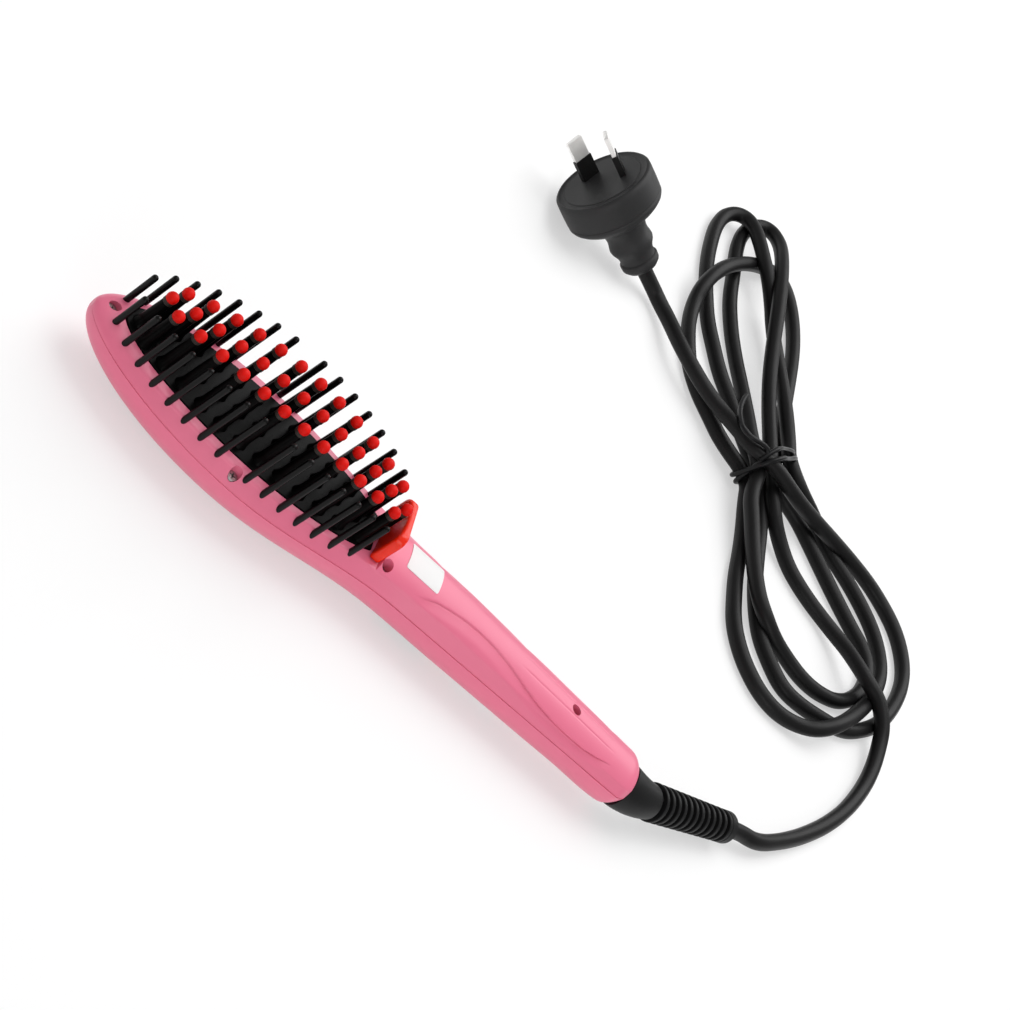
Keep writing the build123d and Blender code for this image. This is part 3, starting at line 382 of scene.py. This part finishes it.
def sleeve_foot():
    """Smooth foot that turns from the handle's axis to the sleeve's line."""
    build = bmesh.new()
    handle_line = Vector((1, 0, 0))
    foot_end = sleeve_bend + sleeve_line * rib_start
    loops = []
    for step in range(foot_steps + 1):
        share = step / foot_steps
        middle = handle_end * (1 - share) ** 2 + sleeve_bend * (2 * share * (1 - share)) \
            + foot_end * share ** 2
        line = (handle_line * (1 - share) + sleeve_line * share).normalized()
        side = line.cross(Vector((0, 0, 1))).normalized()
        up = side.cross(line).normalized()
        radius = foot_radius - foot_narrowing * share ** 1.2
        loops.append(round_loop(build, middle, side, up, radius, 56))
    for low, high in zip(loops, loops[1:]):
        wrap(build, low, high)
    build.faces.new(loops[0])
    build.faces.new(list(reversed(loops[-1])))
    mesh = as_mesh(build, "sleeve_foot")
    keep_edges(mesh)
    return mesh


foot = add_piece("sleeve_foot", sleeve_foot(), sleeve_rubber, "cord_set")
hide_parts("strain_relief")
core_outline = [
    (rib_start - 0.001, 0), (rib_start - 0.001, core_radius), (collar_start, core_tip_radius),
    (collar_start, collar_radius - collar_chamfer), (collar_start + collar_chamfer, collar_radius),
    (sleeve_reach - collar_chamfer, collar_radius),
    (sleeve_reach, collar_radius - collar_chamfer), (sleeve_reach, cord_width / 2),
    (sleeve_reach - collar_recess, cord_width / 2), (sleeve_reach - collar_recess, 0),
]
core = add_piece("sleeve_core", turned_mesh("sleeve_core", core_outline, along=sleeve_line,
                                            at=sleeve_bend),
                 sleeve_rubber, "cord_set")
keep_edges(core.data)


def times(tree, value, factor):
    """Output of a node that multiplies a value by a number."""
    node = tree.nodes.new("ShaderNodeMath")
    node.operation = "MULTIPLY"
    node.inputs[1].default_value = factor
    tree.links.new(value, node.inputs[0])
    return node.outputs[0]


def vector_of(tree, **axes):
    """Output of a node that joins values or plain numbers into a vector."""
    node = tree.nodes.new("ShaderNodeCombineXYZ")
    for axis, value in axes.items():
        if isinstance(value, float):
            node.inputs[axis].default_value = value
        else:
            tree.links.new(value, node.inputs[axis])
    return node.outputs[0]


def end_tree(tree, geometry, material, end):
    """Ends a tree: instances are made real and the material is set."""
    real = tree.nodes.new("GeometryNodeRealizeInstances")
    dress = tree.nodes.new("GeometryNodeSetMaterial")
    dress.inputs["Material"].default_value = material
    tree.links.new(geometry, real.inputs[0])
    tree.links.new(real.outputs[0], dress.inputs["Geometry"])
    tree.links.new(dress.outputs[0], end.inputs["Geometry"])


def rib_tree(material):
    """Rings and their bridges in a row along X, each a little smaller."""
    tree = bpy.data.node_groups.new("rib_row", "GeometryNodeTree")
    face = tree.interface
    face.new_socket("Count", in_out="INPUT", socket_type="NodeSocketInt")
    for label in ("Pitch", "Radius", "Thickness", "Taper"):
        face.new_socket(label, in_out="INPUT", socket_type="NodeSocketFloat")
    face.new_socket("Geometry", in_out="OUTPUT", socket_type="NodeSocketGeometry")
    new, link = tree.nodes.new, tree.links.new
    start, end = new("NodeGroupInput"), new("NodeGroupOutput")
    pitch, radius = start.outputs["Pitch"], start.outputs["Radius"]
    row = new("GeometryNodeMeshLine")
    row.mode = "OFFSET"
    link(start.outputs["Count"], row.inputs["Count"])
    link(vector_of(tree, X=pitch), row.inputs["Offset"])
    index = new("GeometryNodeInputIndex").outputs[0]
    shrink = new("ShaderNodeMath")
    shrink.operation = "MULTIPLY_ADD"
    link(index, shrink.inputs[0])
    link(start.outputs["Taper"], shrink.inputs[1])
    shrink.inputs[2].default_value = 1.0
    size = vector_of(tree, X=1.0, Y=shrink.outputs[0], Z=shrink.outputs[0])
    # one ring: a disc turned to stand across X
    disc = new("GeometryNodeMeshCylinder")
    disc.inputs["Vertices"].default_value = 48
    disc.inputs["Side Segments"].default_value = 1
    link(radius, disc.inputs["Radius"])
    link(start.outputs["Thickness"], disc.inputs["Depth"])
    ring = new("GeometryNodeTransform")
    ring.inputs["Rotation"].default_value = (0, pi / 2, 0)
    link(disc.outputs["Mesh"], ring.inputs["Geometry"])
    # a bridge across each gap, turned a quarter from one gap to the next
    block = new("GeometryNodeMeshCube")
    link(vector_of(tree, X=pitch, Y=times(tree, radius, bridge_width),
                   Z=times(tree, radius, bridge_height)), block.inputs["Size"])
    bridge = new("GeometryNodeTransform")
    link(vector_of(tree, X=times(tree, pitch, -0.5)), bridge.inputs["Translation"])
    link(block.outputs["Mesh"], bridge.inputs["Geometry"])
    quarter = vector_of(tree, X=times(tree, index, pi / 2))
    no_turn = vector_of(tree)
    both = new("GeometryNodeJoinGeometry")
    for shape, turn in ((bridge, quarter), (ring, no_turn)):
        spread = new("GeometryNodeInstanceOnPoints")
        link(row.outputs["Mesh"], spread.inputs["Points"])
        link(shape.outputs["Geometry"], spread.inputs["Instance"])
        link(turn, spread.inputs["Rotation"])
        link(size, spread.inputs["Scale"])
        link(spread.outputs[0], both.inputs[0])
    end_tree(tree, both.outputs[0], material, end)
    return tree


def grown(name, tree, inputs, base=None):
    """Plain mesh that a geometry tree makes with the given inputs."""
    source = placed(name + "_source", base or bpy.data.meshes.new(name + "_base"))
    maker = source.modifiers.new("maker", "NODES")
    maker.node_group = tree
    for item in tree.interface.items_tree:
        if item.in_out == "INPUT" and item.name in inputs:
            maker[item.identifier] = inputs[item.name]
    return settled(source)


def lie_along(line, at):
    """Matrix that lays X along a line, with its start at a place."""
    side = Vector((0, 0, 1)).cross(line).normalized()
    return axes_at(line, side, line.cross(side).normalized(), at)


rib_mesh = grown("sleeve_ribs", rib_tree(sleeve_rubber),
                 {"Count": rib_count, "Pitch": rib_pitch, "Radius": rib_radius,
                  "Thickness": rib_thickness, "Taper": rib_taper})
rib_mesh.transform(lie_along(
    sleeve_line, sleeve_bend + sleeve_line * (rib_start + rib_pitch - rib_thickness / 2)))
ribs = add_piece("sleeve_ribs", rib_mesh, sleeve_rubber, "cord_set")
keep_edges(ribs.data)
soften = ribs.modifiers.new("soft_edges", "BEVEL")
soften.width = 0.0003
soften.segments = 2
soften.limit_method = "ANGLE"

# ---------------------------------------------------------------- mains plug
# Rubbery plastic plug moulded on the cord: a thick round head with a parting
# line, a slim neck, a bulge for the fingers and a chamfered end. The blades
# are plated brass, each sleeved in black over the half next to the face.
plug_axis = Vector((-0.942588, 0.00987, 0.333807))
plug_face = Vector((0.042, 0.2461, 0.02183))
# distance along the axis and radius, from the face to the cord
plug_outline = [
    (0, 0), (0, 0.0150), (-0.0003, 0.0153), (-0.0003, 0.0172), (0, 0.0176), (-0.0002, 0.0182),
    (-0.0008, 0.0187), (-0.0030, 0.0188), (-0.0070, 0.0188), (-0.0106, 0.0187),
    (-0.0109, 0.0184), (-0.0112, 0.0186), (-0.0122, 0.0186), (-0.0132, 0.0181),
    (-0.0142, 0.0171), (-0.0152, 0.0158), (-0.0162, 0.0141), (-0.0172, 0.0124),
    (-0.0182, 0.0108), (-0.0194, 0.0095), (-0.0208, 0.0087), (-0.0224, 0.0082),
    (-0.0240, 0.0080), (-0.0256, 0.0081), (-0.0270, 0.0084), (-0.0284, 0.0086),
    (-0.0297, 0.0083), (-0.0310, 0.0076), (-0.0322, 0.0071), (-0.0336, 0.0068),
    (-0.0352, 0.0068), (-0.0355, 0.0072), (-0.0360, 0.0075), (-0.0380, 0.0074),
    (-0.0384, 0.0072), (-0.0398, 0.0060), (-0.0400, 0.0056), (-0.0400, 0),
]
plug_plastic = finish("plug_plastic", (0.022, 0.022, 0.0225), 0.5, mottle=0.35, mottle_size=90,
                      grain=1500, unevenness=0.12, bump=0.2, height=0.0002,
                      Specular_IOR_Level=0.24)
plug_mesh = turned_mesh("plug_moulding", plug_outline, sides=96, along=plug_axis, at=plug_face)
keep_edges(plug_mesh, 40)
plug = add_piece("plug_moulding", plug_mesh, plug_plastic, "cord_set")
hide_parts("plug_body")
blade_metal = finish("blade_metal", (0.92, 0.91, 0.89), 0.44, mottle=0.2, mottle_size=200,
                     grain=2200, unevenness=0.14, bump=0.05, height=0.0001, Metallic=0.8)
wear(blade_metal, "plug_blades")
sleeve_black = finish("blade_sleeve_black", (0.006, 0.006, 0.006), 0.45, mottle=0.3,
                      Specular_IOR_Level=0.15)
wear(sleeve_black, "blade_sleeves")

# ---------------------------------------------------------------- front shell
# Pink ABS moulding of the tooth side, flat under the teeth and open for the heated
# plate. Its flanks fall in one flat facet to the seam, six screws sit in deep wells,
# and the handle has the curved edge of a grip panel and a fine groove.
mm = 0.001
nose, length = -115.0, 230.0
seam_z, face_z, wall = 16.0, 21.3, 1.8
# distances from the nose
widest_at, neck_at, grip_until, face_end, end_round = 62.0, 131.0, 150.0, 114.2, 4.0
head_half_width, neck_half_width, end_narrowing = 23.3, 13.0, 2.9
head_rise, neck_rise, end_drop = 9.2, 9.4, 3.2
# angles above the seam: the facet's top, and the fine line beside the crown
facet_angle, fine_line_angle = 36, 77
seam_gap, grip_step, line_depth = 0.32, 0.42, 0.2
# distance from the nose and angle above the seam of the grip panel's edge
grip_marks = ((128, 38), (132, 45), (137, 55), (142, 60), (148, 64), (155, 66), (161, 65),
              (167, 61), (173, 55), (179, 47), (185, 41), (191, 37), (198, 35), (206, 36),
              (212, 42), (217, 50))


def eased(start, end, at, first, last):
    """Smooth change from one value to another between two stations."""
    share = min(max((at - first) / (last - first), 0.0), 1.0)
    return end + (start - end) * (0.5 + 0.5 * cos(pi * share))


def even(change, at, first, last):
    """Even change between two stations."""
    return change * min(max((at - first) / (last - first), 0.0), 1.0)


def gently(value, low, high):
    """Smooth step from 0 to 1."""
    share = min(max((value - low) / (high - low), 0.0), 1.0)
    return share * share * (3 - 2 * share)


def section(at):
    """Half width and rise of the housing at a distance from the nose."""
    bow = max(0.0, 1 - max(0.0, (widest_at - at) / widest_at) ** 2)
    width = eased(head_half_width, neck_half_width, at, widest_at, neck_at) \
        - even(end_narrowing, at, neck_at, length)
    rise = eased(head_rise, neck_rise, at, widest_at, neck_at) \
        - even(end_drop, at, grip_until, length)
    close = 1 - 0.22 * max(0.0, (at - (length - end_round)) / end_round) ** 2
    return width * bow ** 0.555 * close, rise * bow ** 0.42 * close


def grip_line(at):
    """Angle above the seam of the curved edge of the grip panel."""
    if at <= grip_marks[0][0]:
        return grip_marks[0][1]
    for (a, one), (b, two) in zip(grip_marks, grip_marks[1:]):
        if at <= b:
            return one + (two - one) * (at - a) / (b - a)
    return grip_marks[-1][1]


def moulded_point(at, angle, width, rise):
    """Distance across and rise of the outer surface, with its facet and grooves."""
    low = min(angle, 180 - angle)
    sign = 1 if angle < 90 else -1
    side, up = width * cos(radians(angle)), rise * sin(radians(angle))
    # the flank is a flat facet from the seam up
    chord = sin(radians(low)) / sin(radians(facet_angle))
    flat_side = width + (width * cos(radians(facet_angle)) - width) * chord
    share = (1 - gently(low, 28, 41)) * gently(at, 6, 24)
    side = sign * (abs(side) * (1 - share) + flat_side * share)
    # shadow gap along the seam
    side -= sign * seam_gap * (1 - gently(low, 0.7, 2.2)) * gently(width, 0.5, 3)
    # step and groove of the grip panel's edge, and a fine line beside the crown
    line = grip_line(at)
    dip = grip_step * (1 - gently(low, line - 1.2, line + 2.6)) * gently(low, line - 24, line - 4)
    dip += line_depth * max(0.0, 1 - abs(low - line) / 2.2)
    dip *= gently(at, 129, 136) * (1 - gently(at, 213, 219))
    fine = line_depth * max(0.0, 1 - abs(low - fine_line_angle) / 2.4)
    fine *= gently(at, 172, 178) * (1 - gently(at, 212, 218))
    drop = 1 - (dip + fine) / max(rise, 1.0)
    return side * drop, up * drop


def shell_point(at, angle, inset, plain):
    """Point of the front shell's surface, at an angle above the near seam."""
    width, rise = section(at)
    width, rise = max(width - inset, 0.02), max(rise - inset, 0.02)
    if plain:
        side, up = width * cos(radians(angle)), rise * sin(radians(angle))
        cap, end, edge = face_z - wall, face_end + wall, 0.02
    else:
        side, up = moulded_point(at, angle, width, rise)
        cap, end, edge = face_z, face_end, 0.5
    top = seam_z + up
    if at < end + 1.2:
        limit = cap + 6.0 * gently(at, end - 0.1, end + 1.2)
        top = 0.5 * (top + limit - sqrt((top - limit) ** 2 + edge ** 2))
        top = max(top, seam_z)
    return nose + at, -side, top


def half_shell(name, places, angles, inset, plain):
    """Closed solid of the front half through its sections."""
    build = bmesh.new()
    loops = []
    for at in places:
        loops.append([build.verts.new([c * mm for c in shell_point(at, angle, inset, plain)])
                      for angle in angles])
    for low, high in zip(loops, loops[1:]):
        for n in range(len(angles) - 1):
            build.faces.new((low[n], high[n], high[n + 1], low[n + 1]))
    build.faces.new(loops[0])
    build.faces.new(list(reversed(loops[-1])))
    build.faces.new([loop[0] for loop in loops] + [loop[-1] for loop in reversed(loops)])
    return as_mesh(build, name)


def frame_places(first, last, fine):
    """Stations close together at the nose, at the step behind the guard and at the end."""
    nose_steps = 26 * fine
    places = [first + (widest_at - first) * (1 - cos(pi / 2 * n / nose_steps))
              for n in range(nose_steps)]
    at = widest_at
    while at < last - end_round:
        places.append(at)
        at += 0.16 if face_end - 0.6 < at < face_end + 3.4 else 1.6 / fine
    places += [last - end_round * (1 - sin(pi / 2 * n / 8)) for n in range(9)]
    return places


def prism(build, rim, low, high):
    """Adds a closed upright prism over a rim to a cutting tool."""
    bottom = [build.verts.new((x * mm, y * mm, low * mm)) for x, y in rim]
    top = [build.verts.new((x * mm, y * mm, high * mm)) for x, y in rim]
    wrap(build, bottom, top)
    build.faces.new(list(reversed(bottom)))
    build.faces.new(top)


def cylinder(build, x, y, radius, low, high, sides=40):
    """Adds a closed upright cylinder to a cutting tool."""
    prism(build, [(x + radius * cos(2 * pi * n / sides), y + radius * sin(2 * pi * n / sides))
                  for n in range(sides)], low, high)


def cut(body_mesh, tool_mesh):
    """Mesh of a body with a tool's volume taken out of it."""
    body, tool = placed("body_to_cut", body_mesh), placed("cutting_tool", tool_mesh)
    step = body.modifiers.new("cut", "BOOLEAN")
    step.operation = "DIFFERENCE"
    step.solver = "EXACT"
    step.object = tool
    result = settled(body)
    bpy.data.objects.remove(tool)
    return result


def top_at(x, y):
    """Height of the housing's upper surface over a place."""
    width, rise = section(x - nose)
    top = seam_z + rise * sqrt(max(0.0, 1 - (y / width) ** 2))
    return min(top, face_z) if x < nose + face_end else top


half_angles = [0, 0.5, 1.0, 1.6, 2.3, 3.2] + [4.4 + 1.2 * n for n in range(72)]
shell_angles = half_angles + [180 - angle for angle in reversed(half_angles)]
shell_mesh = half_shell("shell_outside", frame_places(0.25, length, 2), shell_angles, 0.0, False)
room_mesh = half_shell("shell_room", frame_places(3.2, length - wall, 1),
                       [4.5 * n for n in range(41)], wall, True)
# pillars stay in the room, and screw holes, wells and the plate's opening go out of the face
below, above = seam_z - 3, 40.0
screw_places = [(-109.8, 0.0), (-54.8, 20.0), (-54.8, -20.0), (1.6, 8.9), (1.6, -8.9), (83.0, 0.0)]
pillar_radius, well_radius, hole_radius, well_depth = 3.1, 1.9, 1.3, 4.7
pillars, openings = bmesh.new(), bmesh.new()
for x, y in screw_places:
    seat = max(top_at(x, y) - well_depth, seam_z + 1.0)
    cylinder(pillars, x, y, pillar_radius, below, above)
    cylinder(openings, x, y, hole_radius, below, seat + 0.05, 24)
    cylinder(openings, x, y, well_radius, seat, above, 32)
plate_middle, plate_end = nose + 62.2, nose + 110.6
plate_half_length, plate_half_width = 53.6, 16.0
plate_rim = [(min(plate_middle + plate_half_length * cos(2 * pi * n / 120), plate_end),
              plate_half_width * sin(2 * pi * n / 120)) for n in range(120)]
prism(openings, plate_rim, seam_z - 2, above)
room_mesh = cut(room_mesh, as_mesh(pillars, "pillars"))
shell_mesh = cut(cut(shell_mesh, room_mesh), as_mesh(openings, "openings"))

pink_plastic = finish("pink_plastic", (0.79, 0.166, 0.275), 0.36, mottle=0.05, mottle_size=25,
                      grain=1300, unevenness=0.06, bump=0.05, height=0.00012)
front_shell = add_piece("front_shell_moulding", shell_mesh, pink_plastic, "body")
keep_edges(front_shell.data, 32)
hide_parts("front_shell")

# ---------------------------------------------------------------- back shell
# The other half of the housing, in the same pink plastic, with the resting
# flat and the panel for the display and the three buttons.
wear(pink_plastic, "back_shell")

# ---------------------------------------------------------------- screws
# Six zinc-plated self-tapping screws with cross slots, deep in their wells.
# The small screws inside and the heater clamp are of the same plated steel.
screw_steel = finish("screw_steel", (0.42, 0.41, 0.40), 0.35, mottle=0.2, mottle_size=400,
                     grain=3000, unevenness=0.15, bump=0.1, height=0.0001, Metallic=1.0)
wear(screw_steel, "housing_screws", "clamp_screws", "board_screws", "heater_clamp")

# ---------------------------------------------------------------- heated plate
# Aluminium plate let into the tooth face from inside, with a pin set in each of
# its holes. Both have a slightly rough black ceramic coating.
plate_coating = finish("plate_coating", (0.0018, 0.0017, 0.0017), 0.34, mottle=0.6,
                       mottle_size=150, grain=2500, unevenness=0.2, bump=0.25, height=0.00015,
                       Specular_IOR_Level=0.05)
wear(plate_coating, "heating_plate", "heating_pins")

# ---------------------------------------------------------------- silicone caps
# Each heated pin wears a cap: a soft red dome on a dark heat-proof collar
# that is pushed over the pin's neck.


def parts_of(mesh):
    """Top and middle of each separate body in a mesh."""
    build = bmesh.new()
    build.from_mesh(mesh)
    bmesh.ops.remove_doubles(build, verts=build.verts, dist=1e-6)
    left = set(build.verts)
    found = []
    while left:
        seed = left.pop()
        group, edge = [seed], [seed]
        while edge:
            one = edge.pop()
            for link in one.link_edges:
                other = link.other_vert(one)
                if other in left:
                    left.remove(other)
                    group.append(other)
                    edge.append(other)
        xs = [v.co.x for v in group]
        ys = [v.co.y for v in group]
        found.append(Vector(((min(xs) + max(xs)) / 2, (min(ys) + max(ys)) / 2,
                             max(v.co.z for v in group))))
    build.free()
    return sorted(found, key=lambda place: (place.x, place.y))


def spot_mesh(name, places):
    """Mesh of loose points."""
    mesh = bpy.data.meshes.new(name)
    mesh.from_pydata([tuple(place) for place in places], [], [])
    return mesh


def repeat_tree(material):
    """A shape set on every point of a mesh."""
    tree = bpy.data.node_groups.new("repeat_on_points", "GeometryNodeTree")
    face = tree.interface
    face.new_socket("Points", in_out="INPUT", socket_type="NodeSocketGeometry")
    face.new_socket("Shape", in_out="INPUT", socket_type="NodeSocketObject")
    face.new_socket("Geometry", in_out="OUTPUT", socket_type="NodeSocketGeometry")
    new, link = tree.nodes.new, tree.links.new
    start, end = new("NodeGroupInput"), new("NodeGroupOutput")
    shape = new("GeometryNodeObjectInfo")
    link(start.outputs["Shape"], shape.inputs["Object"])
    spread = new("GeometryNodeInstanceOnPoints")
    link(start.outputs["Points"], spread.inputs["Points"])
    link(shape.outputs["Geometry"], spread.inputs["Instance"])
    end_tree(tree, spread.outputs[0], material, end)
    return tree


def repeated(name, shape_mesh, places, material, body):
    """One piece made of a shape repeated at places."""
    shape = placed(name + "_shape", shape_mesh)
    mesh = grown(name, repeat_tree(material), {"Shape": shape},
                 spot_mesh(name + "_points", places))
    bpy.data.objects.remove(shape)
    keep_edges(mesh, 40)
    return add_piece(name, mesh, material, body)


cap_tops = parts_of(nodes["silicone_caps"].data)
dome_radius, cap_neck_radius = 0.00195, 0.00155
cap_neck_end = -1.52 * dome_radius
dome_outline = [(0, 0)]
for turn in (18, 36, 54, 72, 90, 105, 120):
    dome_outline.append((-dome_radius * (1 - cos(radians(turn))), dome_radius * sin(radians(turn))))
dome_outline += [(cap_neck_end, cap_neck_radius), (cap_neck_end, 0)]
cap_silicone = finish("cap_silicone", (0.72, 0.006, 0.003), 0.5, mottle=0.25, mottle_size=300,
                      grain=2500, unevenness=0.1, bump=0.08, height=0.0001,
                      Specular_IOR_Level=0.14)
domes = repeated("cap_domes", turned_mesh("dome_shape", dome_outline, 24), cap_tops, cap_silicone,
                 "body")
collar_outline = [(-0.0028, 0), (-0.0028, 0.0016), (-0.0030, 0.0018), (-0.0041, 0.0018),
                  (-0.0043, 0.0016), (-0.0043, 0)]
collar_dark = finish("cap_collar_dark", (0.030, 0.022, 0.018), 0.5, mottle=0.4, mottle_size=300,
                     grain=2500, bump=0.08, height=0.0001, Specular_IOR_Level=0.3)
repeated("cap_collars", turned_mesh("collar_shape", collar_outline, 20), cap_tops, collar_dark,
         "body")
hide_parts("silicone_caps")

# ---------------------------------------------------------------- outer teeth
# Black nylon rods with rounded tips, fifteen on each side. They stand on a ring
# under the tooth face and come up through its holes.
tooth_nylon = finish("tooth_nylon", (0.0032, 0.0030, 0.0030), 0.24, mottle=0.5, mottle_size=180,
                     grain=2200, unevenness=0.14, bump=0.1, height=0.0001,
                     Specular_IOR_Level=0.16)
wear(tooth_nylon, "outer_bristles", "comb_ring")

# ---------------------------------------------------------------- neck guard
# Glossy red plastic wall that keeps the hand off the hot pins. It is one moulding
# with rounded edges, set on the front shell behind the plate.
guard_build = bmesh.new()
guard_build.from_mesh(nodes["neck_guard"].data)
bmesh.ops.remove_doubles(guard_build, verts=guard_build.verts, dist=1e-6)
guard_source = placed("guard_source", as_mesh(guard_build, "guard_base"))
even_out = guard_source.modifiers.new("even_out", "REMESH")
even_out.mode = "VOXEL"
even_out.voxel_size = 0.0004
round_off = guard_source.modifiers.new("round_off", "SMOOTH")
round_off.factor = 0.5
round_off.iterations = 14
guard_mesh = settled(guard_source)
guard_mesh.shade_smooth()
guard_red = finish("guard_red", (0.84, 0.022, 0.004), 0.26, mottle=0.2, mottle_size=80,
                   grain=1500, unevenness=0.08, bump=0.04, height=0.0001, Coat_Weight=0.1,
                   Coat_Roughness=0.12, Specular_IOR_Level=0.25, Subsurface_Weight=0.4,
                   Subsurface_Scale=0.003)
guard = add_piece("neck_guard_moulding", guard_mesh, guard_red, "body")
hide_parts("neck_guard")

# ---------------------------------------------------------------- label
# Small sticker of white coated paper, stuck on the crown of the neck behind
# the guard. It is blank.
label_paper = finish("label_paper", (0.80, 0.80, 0.80), 0.5, mottle=0.04, mottle_size=300,
                     grain=2500, unevenness=0.05, bump=0.06, height=0.0001)
wear(label_paper, "blank_label")

# ---------------------------------------------------------------- controls
# On the back of the handle: a display behind a smoked window let into the shell,
# and three push buttons of moulded plastic over their switches.
window_smoke = finish("window_smoke", (0.05, 0.05, 0.055), 0.12, mottle=0.05, bump=0.01,
                      Coat_Weight=0.6, Coat_Roughness=0.05)
wear(window_smoke, "display_window")
display_glass = finish("display_glass", (0.02, 0.022, 0.025), 0.2, mottle=0.1, bump=0.02)
wear(display_glass, "display_module")
button_grey = finish("button_grey", (0.50, 0.50, 0.52), 0.38, mottle=0.05, grain=1800, bump=0.08)
wear(button_grey, "plus_button", "minus_button")
wear(guard_red, "power_button")

# ---------------------------------------------------------------- inside parts
# Circuit board with its switches, ceramic heaters in amber film, temperature sensor,
# thermal fuse, wires, and the brass bush in which the cord outlet swivels.
board_mask = finish("board_mask", (0.02, 0.09, 0.035), 0.3, mottle=0.3, mottle_size=250, bump=0.1)
wear(board_mask, "control_board")
switch_black = finish("switch_black", (0.015, 0.015, 0.015), 0.45, bump=0.06)
wear(switch_black, "tactile_switches", "temperature_sensor", "swivel_head")
heater_ceramic = finish("heater_ceramic", (0.78, 0.76, 0.70), 0.7, mottle=0.12, mottle_size=200,
                        bump=0.2)
wear(heater_ceramic, "heater_elements")
film_amber = finish("film_amber", (0.50, 0.19, 0.02), 0.25, mottle=0.1, bump=0.03)
wear(film_amber, "insulating_film")
fuse_tin = finish("fuse_tin", (0.70, 0.69, 0.66), 0.25, mottle=0.1, bump=0.05, Metallic=1.0)
wear(fuse_tin, "thermal_fuse")
wire_white = finish("wire_white", (0.70, 0.70, 0.67), 0.6, mottle=0.1, grain=3000, bump=0.3)
wear(wire_white, "heater_leads")
wire_blue = finish("wire_blue", (0.02, 0.06, 0.26), 0.4, mottle=0.1, bump=0.05)
wear(wire_blue, "supply_leads")
bush_brass = finish("bush_brass", (0.62, 0.42, 0.14), 0.28, mottle=0.15, bump=0.06, Metallic=1.0)
wear(bush_brass, "swivel_bush")

# ---------------------------------------------------------------- table and light
# White sheet under the comb, seen almost white but with its soft shadows. Two large
# lamps overhead and behind and a weak one in front, and a sky brighter at the top.
sheet_glow = 0.52
horizon_strength, top_strength = 0.22, 0.55
lamp_aim = Vector((0.06, 0.08, 0.0))
floor_mesh = bpy.data.meshes.new("table_sheet")
floor_mesh.from_pydata([(-6, -6, 0), (6, -6, 0), (6, 6, 0), (-6, 6, 0)], [], [(0, 1, 2, 3)])
table_sheet = placed("table_sheet", floor_mesh)
sheet_white = bpy.data.materials.new("sheet_white")
sheet_white.use_nodes = True
sheet_tree = sheet_white.node_tree
new, link = sheet_tree.nodes.new, sheet_tree.links.new
paper = sheet_tree.nodes["Principled BSDF"]
paper.inputs["Base Color"].default_value = (0.95, 0.95, 0.95, 1)
paper.inputs["Roughness"].default_value = 0.9
paper.inputs["Specular IOR Level"].default_value = 0.0
glow = new("ShaderNodeEmission")
glow.inputs["Color"].default_value = (1, 1, 1, 1)
ray = new("ShaderNodeLightPath")
seen = ray.outputs["Is Camera Ray"]
for kind in ("Is Glossy Ray", "Is Transmission Ray"):
    either = new("ShaderNodeMath")
    either.operation = "MAXIMUM"
    link(seen, either.inputs[0])
    link(ray.outputs[kind], either.inputs[1])
    seen = either.outputs[0]
sheet_mix = new("ShaderNodeMixShader")
link(times(sheet_tree, seen, sheet_glow), sheet_mix.inputs["Fac"])
link(paper.outputs["BSDF"], sheet_mix.inputs[1])
link(glow.outputs["Emission"], sheet_mix.inputs[2])
link(sheet_mix.outputs["Shader"], sheet_tree.nodes["Material Output"].inputs["Surface"])
floor_mesh.materials.append(sheet_white)


def lamp(name, place, aim, size, watts):
    """Square softbox aimed at a point."""
    data = bpy.data.lights.new(name, "AREA")
    data.shape = "SQUARE"
    data.size = size
    data.energy = watts
    lit = placed(name, data)
    lit.location = place
    lit.rotation_euler = (Vector(aim) - Vector(place)).to_track_quat("-Z", "Y").to_euler()


lamp("softbox_top", (0.14, 0.45, 1.5), lamp_aim, 1.2, 13)
lamp("softbox_back", (0.70, 1.30, 1.05), lamp_aim, 1.2, 10)
lamp("softbox_front", (0.25, -1.45, 0.42), (0.0, 0.05, 0.0), 0.8, 6)
world = bpy.data.worlds.new("studio")
bpy.context.scene.world = world
world.use_nodes = True
sky_tree = world.node_tree
new, link = sky_tree.nodes.new, sky_tree.links.new
sky = sky_tree.nodes["Background"]
sky.inputs["Color"].default_value = (1, 1, 1, 1)
sky_place = new("ShaderNodeTexCoord")
sky_axes = new("ShaderNodeSeparateXYZ")
sky_height = new("ShaderNodeMapRange")
sky_height.inputs["From Min"].default_value = 0.0
sky_height.inputs["From Max"].default_value = 0.9
sky_height.inputs["To Min"].default_value = horizon_strength
sky_height.inputs["To Max"].default_value = top_strength
link(sky_place.outputs["Generated"], sky_axes.inputs[0])
link(sky_axes.outputs["Z"], sky_height.inputs["Value"])
link(sky_height.outputs["Result"], sky.inputs["Strength"])
sky_seen = new("ShaderNodeBackground")
sky_seen.inputs["Color"].default_value = (1, 1, 1, 1)
sky_seen.inputs["Strength"].default_value = 1.0
sky_ray = new("ShaderNodeLightPath")
sky_mix = new("ShaderNodeMixShader")
link(sky_ray.outputs["Is Camera Ray"], sky_mix.inputs["Fac"])
link(sky.outputs[0], sky_mix.inputs[1])
link(sky_seen.outputs[0], sky_mix.inputs[2])
link(sky_mix.outputs[0], sky_tree.nodes["World Output"].inputs["Surface"])
bpy.context.scene.view_settings.view_transform = "Standard"
